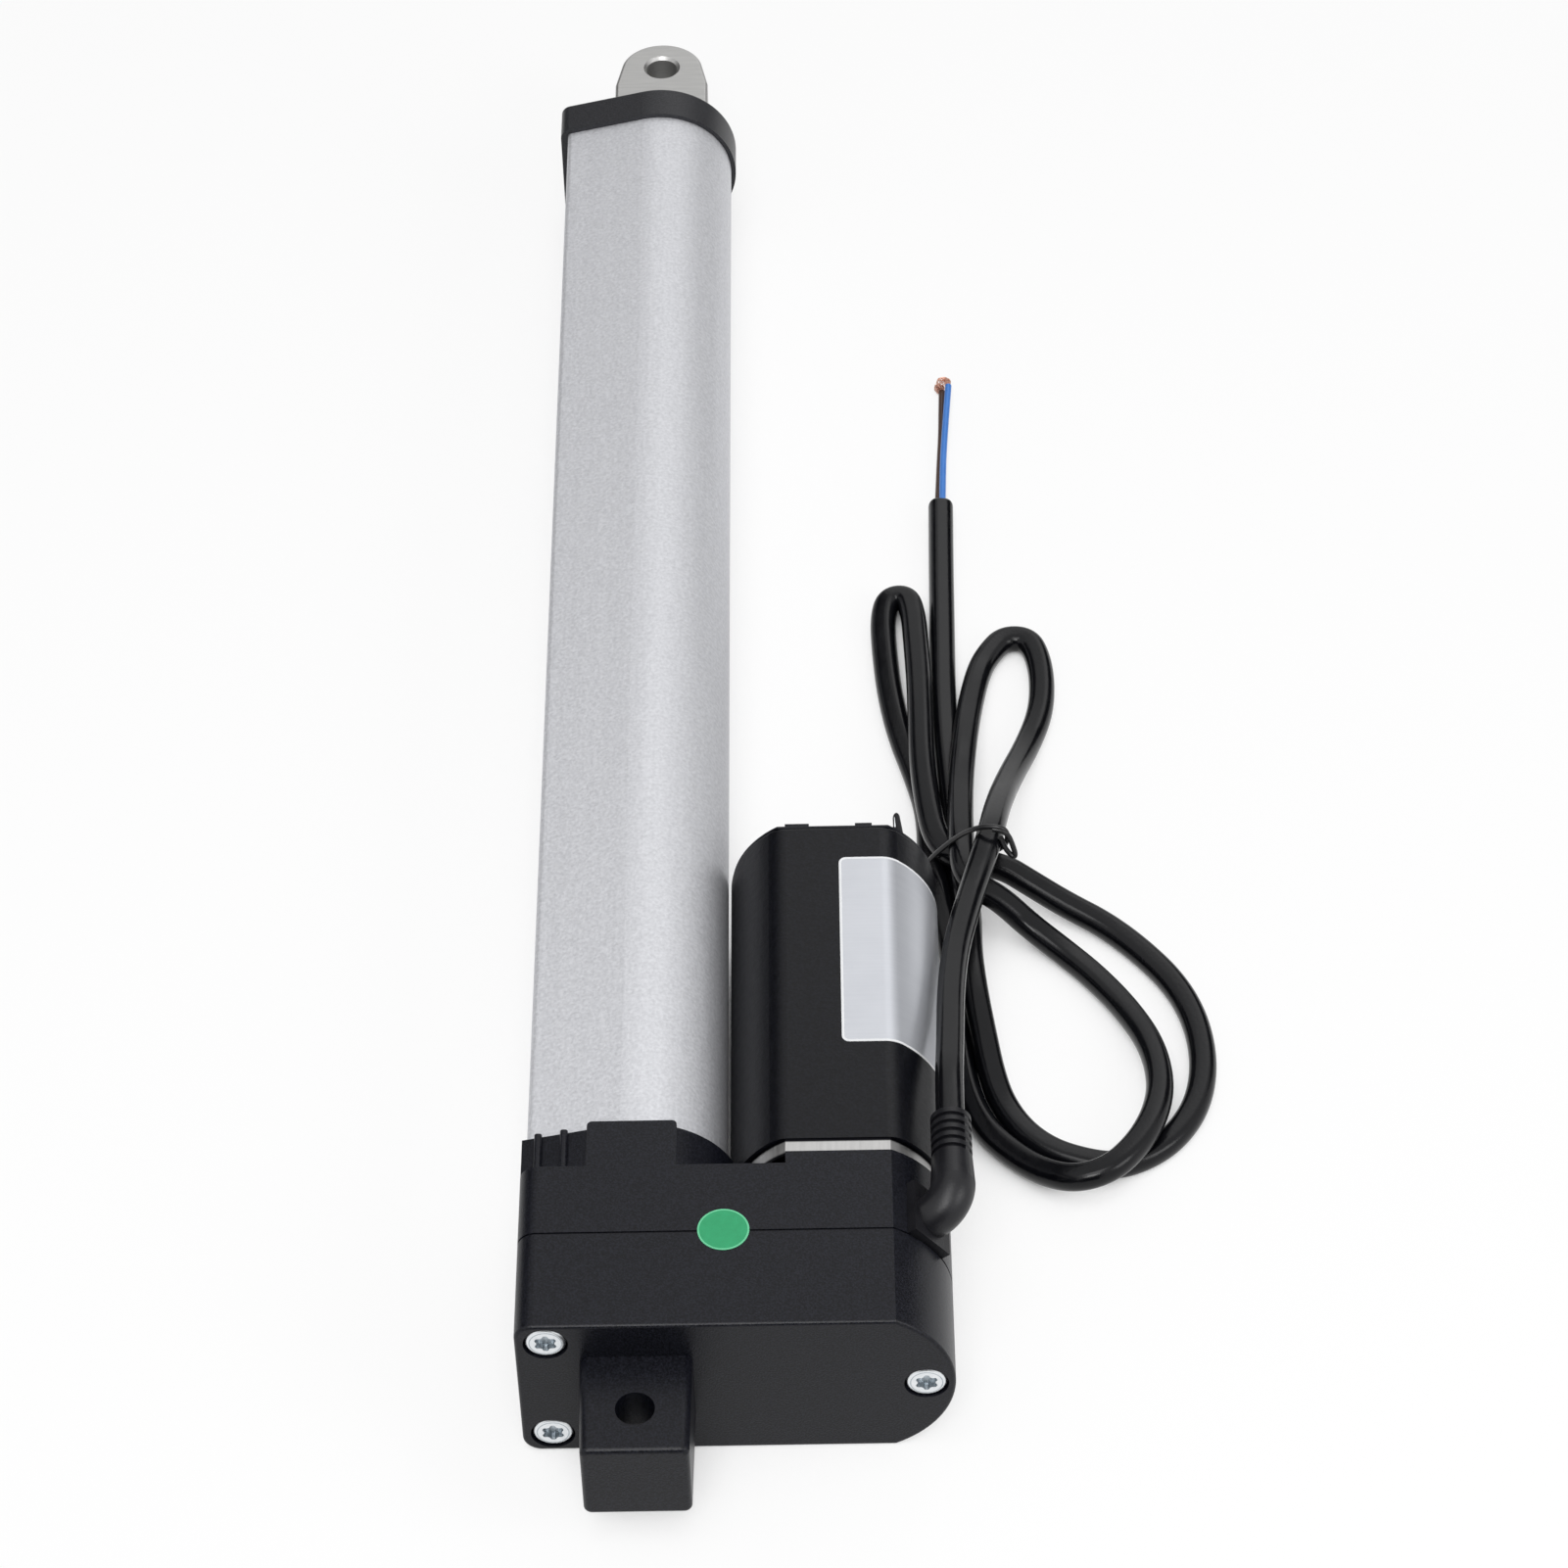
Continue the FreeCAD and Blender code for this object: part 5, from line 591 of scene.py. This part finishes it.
# Armature. A stack of thin steel stampings with a winding of varnished copper wire, a commutator of copper
# bars, and two pressed carbon brushes.
stampings = Finish("steel_stampings", metallic=0.9, roughness=0.45)
point = stampings.node("ShaderNodeTexCoord", output="Object")
layers = stampings.node("ShaderNodeTexWave", {"bands_direction": "Y"}, {"Vector": point, "Scale": 628}, 1)
stampings.feed("Base Color", stampings.mix(layers, (0.13, 0.13, 0.135), (0.32, 0.32, 0.325)))
stampings.bump(layers, 0.00006)
dress(stampings, "armature_core")
wire = Finish("varnished_wire", metallic=0.8)
turns = wire.noise(0.0006, (1, 0.05, 1), 1)
wire.feed("Base Color", wire.mix(wire.ramp(turns, 0.4, 0.6), (0.2, 0.06, 0.025), (0.5, 0.2, 0.09)))
wire.feed("Roughness", 0.3 + 0.15 * turns)
wire.bump(turns, 0.00015)
dress(wire, "armature_winding")
bars = Finish("copper_bars", metallic=1.0)
worn = bars.noise(0.0005, (0.03, 1, 0.03), 3)
bars.feed("Base Color", bars.mix(worn, (0.42, 0.19, 0.1), (0.62, 0.32, 0.19)))
bars.feed("Roughness", 0.25 + 0.2 * worn)
dress(bars, "commutator")
carbon = Finish("pressed_carbon", specular_ior_level=0.4)
dust = carbon.noise(0.0004, detail=4)
carbon.feed("Base Color", carbon.mix(dust, (0.012, 0.012, 0.013), (0.04, 0.04, 0.041)))
carbon.feed("Roughness", 0.45 + 0.2 * dust)
dress(carbon, "motor_brushes")


# Label of the motor. Brushed silver film with a white edge and round corners, stuck on the upper flat and
# round the right-hand shoulder of the can, and left bare.
CAN_AXIS = 0.0335
CAN_RADIUS = 0.0184
CAN_FLAT = 0.0155
CREASE_RADIUS = 0.005
LABEL_START, LABEL_NEAR, LABEL_FAR = 0.0345, 0.0717, 0.1149
LABEL_END_ANGLE = math.radians(104)
LABEL_CORNER = 0.0013
LABEL_RIM = 0.00045
FILM_THICKNESS = 0.0001
CREASE_STEPS, ROUND_STEPS = 8, 12
crease_height = CAN_FLAT - CREASE_RADIUS
crease_out = math.sqrt((CAN_RADIUS - CREASE_RADIUS) ** 2 - crease_height ** 2)
crease_angle = math.atan2(crease_out, crease_height)
outline = [(CAN_AXIS + crease_out, CAN_FLAT)]
for step in range(1, CREASE_STEPS + 1):
    angle = crease_angle * step / CREASE_STEPS
    across = CAN_AXIS + crease_out + CREASE_RADIUS * math.sin(angle)
    outline.append((across, crease_height + CREASE_RADIUS * math.cos(angle)))
for step in range(1, ROUND_STEPS + 1):
    angle = crease_angle + (LABEL_END_ANGLE - crease_angle) * step / ROUND_STEPS
    outline.append((CAN_AXIS + CAN_RADIUS * math.sin(angle), CAN_RADIUS * math.cos(angle)))

bpy.ops.object.select_all(action="DESELECT")
bpy.ops.mesh.primitive_plane_add(
    size=1, location=((LABEL_START + outline[0][0]) / 2, (LABEL_NEAR + LABEL_FAR) / 2, CAN_FLAT)
)
label = bpy.context.object
label.name = "motor_label"
label.scale = (outline[0][0] - LABEL_START, LABEL_FAR - LABEL_NEAR, 1)
bpy.ops.object.transform_apply(location=True, rotation=True, scale=True)
pick(label, "EDGE", lambda place: place.x > outline[0][0] - NEAR)
for (x, z), (next_x, next_z) in zip(outline, outline[1:]):
    bpy.ops.mesh.extrude_edges_move(TRANSFORM_OT_translate={"value": (next_x - x, 0, next_z - z)})


def label_corner(place):
    last_x, last_z = outline[-1]
    at_end = place.y < LABEL_NEAR + NEAR or place.y > LABEL_FAR - NEAR
    at_last = abs(place.x - last_x) < NEAR and abs(place.z - last_z) < NEAR
    return at_end and (place.x < LABEL_START + NEAR or at_last)


pick(label, "VERT", label_corner)
bpy.ops.mesh.bevel(offset=LABEL_CORNER, segments=5, affect="VERTICES")
label_edge = Finish("label_edge", roughness=0.4)
print_tone = label_edge.noise(0.002)
label_edge.feed("Base Color", label_edge.mix(print_tone, (0.74, 0.75, 0.77), (0.82, 0.83, 0.84)))
label_film = Finish("label_film", metallic=0.5)
brushed = label_film.noise(0.0004, (0.03, 1, 0.03), 3)
tint = label_film.noise(0.008)
tone = 0.5 * brushed + 0.5 * tint
label_film.feed("Base Color", label_film.mix(tone, (0.49, 0.505, 0.545), (0.612, 0.627, 0.662)))
label_film.feed("Roughness", 0.32 + 0.1 * brushed)
add_to_body(label, "housing", "motor_black", label_edge, label_film)
pick(label, "FACE", lambda place, normal: True)
bpy.ops.mesh.inset(thickness=LABEL_RIM)
label.active_material_index = 1
bpy.ops.object.material_slot_assign()
bpy.ops.object.mode_set(mode="OBJECT")
thicken(label, FILM_THICKNESS)


# Strain relief. Soft black rubber moulded on the cord, with an elbow and grooves that let it bend. Its foot
# is held in the gearbox's wall.
relief_finish = Finish("relief_rubber", specular_ior_level=0.35)
bloom = relief_finish.noise(0.004, detail=3)
pitted = relief_finish.noise(0.0004, detail=2)
relief_finish.feed("Base Color", relief_finish.mix(bloom, (0.004, 0.004, 0.0055), (0.009, 0.009, 0.0115)))
relief_finish.feed("Roughness", 0.28 + 0.2 * bloom)
relief_finish.bump(pitted, 0.00003)
dress(relief_finish, "strain_relief")


# Power cord. Two cores in one soft glossy black sheath, drawn slightly flat, so that it catches the light
# along its edges. It leaves the strain relief, makes two loops each way through a wire tie, and ends in two
# bare-ended leads.
CORD_ROUTE = [
    (52.5, 54, 15.39), (52.5, 62.5, 15.1), (53.1, 75.2, 11.8), (53.6, 89.1, 8.3), (54.8, 101.7, 5.3),
    (57, 112.9, 3.1), (59.2, 122.4, 1.6), (61.9, 131.8, 2.1), (63.9, 144.8, -2.7), (66.8, 158.4, -9.3),
    (70.5, 170.2, -13.5), (73.4, 179.4, -14.2), (74.2, 187.7, -14.2), (73.7, 194.8, -14.2),
    (72, 200.1, -14.2), (67.2, 200.5, -14.2), (64.2, 196.3, -14.2), (62.1, 191.6, -14.2),
    (60.2, 181.6, -12.9), (58.7, 170, -10.6), (57.6, 158.5, -9.5), (57.1, 147, -7),
    (57, 137.5, -5), (57.3, 130.5, -5), (60, 127.2, -6), (64, 126, -8.2), (69, 123.3, -12.2),
    (75.2, 118.3, -14.1),
    (80.6, 111.9, -14), (85.8, 103.4, -13.3), (89.6, 93.8, -12), (90.7, 84, -10.8), (89.2, 75.8, -9.6),
    (85.7, 68.6, -9.2), (80.6, 63, -9.2), (74.4, 61.9, -10.4), (68.9, 65.8, -13), (63.8, 71.1, -14.2),
    (59.2, 76.9, -14.2), (56.5, 85.1, -14.2), (55.5, 95.1, -14.2), (55.6, 106.2, -14.2),
    (55.2, 117.1, -14.2), (53.4, 128.5, -13.5), (51.5, 141.2, -14.2), (51.6, 153.2, -14.2),
    (49.5, 163.5, -14.2), (46.7, 173.9, -14.2), (44.9, 185.3, -14.2), (44.1, 197.4, -14.2),
    (43.9, 206.2, -14.1), (45.1, 211.9, -13.9), (48.9, 211.7, -13.4), (49.9, 205.6, -12.7),
    (50.1, 199.2, -12), (50.5, 187, -10.8), (50.5, 175.8, -9.8), (50.4, 163.3, -9.4), (51.2, 152, -9.4),
    (52.6, 142.5, -9.7), (56.8, 137.2, -9.8), (64.2, 136.5, -10), (70, 132.8, -11.5), (76, 128.9, -12.9),
    (82.7, 124.9, -13.9), (88.9, 118.6, -14.2), (94.7, 110.4, -14.2), (98, 101.4, -14.2),
    (98.9, 91.2, -14.2), (97.2, 81.9, -14.2), (93.2, 74.8, -14.2), (88, 70.2, -14.2), (81.9, 67.8, -14.2),
    (76.7, 68.8, -14.2), (70.8, 71.3, -14.2), (66, 75.9, -14.2), (62.6, 82.4, -14.1), (60.9, 88.6, -12.9),
    (59.7, 96.4, -11.4), (58.5, 104.8, -10), (57.7, 114.7, -9.6), (58.1, 125.6, -11.6),
    (56.9, 137.3, -14), (56.4, 151, -14.2), (55.8, 162.3, -14.2), (55.2, 173.8, -14.2),
    (55.1, 186.7, -14.2), (55.4, 202.3, -14.2), (55.7, 220.7, -14.2), (56.1, 237.5, -14.2),
    (56.1, 238.9, -14.2), (56.1, 239.4, -14.2),
]
CORD_SECTION = [
    (2.45, 0.9), (1.55, 2.05), (0, 2.1), (-1.55, 2.05), (-2.45, 0.9),
    (-2.45, -0.9), (-1.55, -2.05), (0, -2.1), (1.55, -2.05), (2.45, -0.9),
]
CORD_CUT = 0.72
MILLIMETRE = 0.001


def smooth_line(data, route, closed=False):
    """Add a smooth line to a curve, with a route in millimetres as its control points."""
    line = data.splines.new("NURBS")
    line.points.add(len(route) - 1)
    for point, place in zip(line.points, route):
        point.co = (*(MILLIMETRE * along for along in place), 1)
    line.order_u = 3
    line.use_endpoint_u = not closed
    line.use_cyclic_u = closed
    return line


def new_curve(name, steps, thickness=0.0):
    """An empty curve, with the radius in metres of the wire that runs along it."""
    data = bpy.data.curves.new(name, "CURVE")
    data.dimensions = "3D"
    data.resolution_u = steps
    data.bevel_depth = thickness
    data.bevel_resolution = 4
    data.use_fill_caps = True
    piece = bpy.data.objects.new(name, data)
    scene.collection.objects.link(piece)
    return piece


section = new_curve("cord_section", 5)
section.data.dimensions = "2D"
smooth_line(section.data, [(across, up, 0) for across, up in CORD_SECTION], closed=True)
section.hide_render = True
section.hide_viewport = True
cord = new_curve("power_cord_sheath", 10)
line = smooth_line(cord.data, CORD_ROUTE)
line.points[-1].radius = CORD_CUT
cord.data.bevel_mode = "OBJECT"
cord.data.bevel_object = section
vinyl = Finish("black_vinyl", specular_ior_level=0.24)
flow = vinyl.noise(0.003, detail=3)
vinyl.feed("Base Color", vinyl.mix(flow, (0.0015, 0.0016, 0.0025), (0.0045, 0.0047, 0.006)))
vinyl.feed("Roughness", 0.16 + 0.12 * flow)
vinyl.bump(vinyl.noise(0.0006), 0.00002)
add_to_body(cord, "housing", "cord_sheath", vinyl)
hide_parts("power_cord")


# Tie. Soft iron wire in a black plastic coat, passed once round the strands of the cord, with its two ends
# twisted into a small loop that stands off on the right.
TIE_LOOP = [
    (50, 138.5, -16), (50.2, 138.3, -11.4), (56.1, 135.4, -1), (59.8, 131.8, 5), (63.4, 130.9, 6),
    (65.2, 130.9, 4.6), (65, 131.4, 0.6), (62.4, 132.6, -2.6), (61.2, 133.5, -10), (60.6, 134.5, -16),
]
TIE_TAIL = [
    (62.4, 130.9, 5.3), (63.9, 130.6, 5.3), (65.2, 130.5, 4.3), (66, 130, 2.2), (66.6, 129.5, 0),
    (66.2, 129.3, -0.4), (65.4, 129.9, 0.1), (64.6, 130.3, 1.2), (63.9, 130.4, 3.6),
]
TIE_RADIUS = 0.0005
tie = new_curve("cord_tie_wire", 8, TIE_RADIUS)
smooth_line(tie.data, TIE_LOOP, closed=True)
smooth_line(tie.data, TIE_TAIL)
coat = Finish("tie_coat", specular_ior_level=0.4)
ripple = coat.noise(0.0012, detail=2)
coat.feed("Base Color", coat.mix(ripple, (0.006, 0.006, 0.007), (0.012, 0.012, 0.013)))
coat.feed("Roughness", 0.28 + 0.14 * ripple)
add_to_body(tie, "housing", "cord_sheath", coat)
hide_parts("cord_tie")


# Leads. Two thin wires, blue and brown, that come out of the cord's cut end side by side. Each is bared at
# its end, where the fine copper strands curl over to the left.
LEAD_RADIUS = 0.00065
STRAND_RADIUS = 0.00009
STRAND_COUNT = 14
STRAND_SPREAD = 0.38
LEADS = {
    "blue": ([
        (56.5, 239.45, -13.75), (56.9, 250.9, -14.3), (57.5, 259.9, -14.45), (58.2, 268.9, -14.5),
        (58.7, 275.1, -14.4),
    ], (0.038, 0.165, 0.54), (0.06, 0.23, 0.65), 0.9),
    "brown": ([
        (55.6, 239.45, -15.05), (56.3, 252.4, -15.7), (56.9, 261.4, -15.8), (57.2, 270.4, -15.8),
        (57.4, 274.9, -15.8),
    ], (0.035, 0.015, 0.01), (0.06, 0.026, 0.016), 0.55),
}
copper = Finish("copper_strands", metallic=1.0)
tarnish = copper.noise(0.0006, detail=3)
copper.feed("Base Color", copper.mix(tarnish, (0.5, 0.24, 0.16), (0.8, 0.52, 0.42)))
copper.feed("Roughness", 0.25 + 0.15 * tarnish)
for colour, (route, dark, light, reach) in LEADS.items():
    lead = new_curve(f"{colour}_lead_wire", 10, LEAD_RADIUS)
    smooth_line(lead.data, route)
    insulation = Finish(f"{colour}_insulation")
    drawn = insulation.noise(0.002, detail=3)
    insulation.feed("Base Color", insulation.mix(drawn, dark, light))
    insulation.feed("Roughness", 0.3 + 0.15 * drawn)
    add_to_body(lead, "housing", f"{colour}_insulation", insulation)
    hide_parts(f"{colour}_lead")
    strands = new_curve(f"{colour}_lead_strands", 6, STRAND_RADIUS)
    end_x, end_y, end_z = route[-1]
    for count in range(STRAND_COUNT):
        around = 2 * math.pi * count / STRAND_COUNT
        across = STRAND_SPREAD * math.cos(around)
        up = STRAND_SPREAD * math.sin(around)
        curl = reach * (0.75 + 0.5 * math.sin(2.4 * count))
        smooth_line(strands.data, [
            (end_x + 0.5 * across, end_y - 1.2, end_z + 0.5 * up),
            (end_x + across, end_y + 0.5, end_z + up),
            (end_x + 1.8 * across - 0.2 * curl, end_y + 1.1 + 0.9 * curl, end_z + 1.2 * up),
            (end_x + 1.2 * across - 1.5 * curl, end_y + 1.7 + 0.6 * curl, end_z + up),
            (end_x - across - 2.4 * curl, end_y + 0.9 + across, end_z + 0.6 * up),
            (end_x - 0.6 * across - 1.7 * curl, end_y + 0.1 + 2 * across, end_z + 0.3 * up),
        ])
    add_to_body(strands, "housing", "copper", copper)
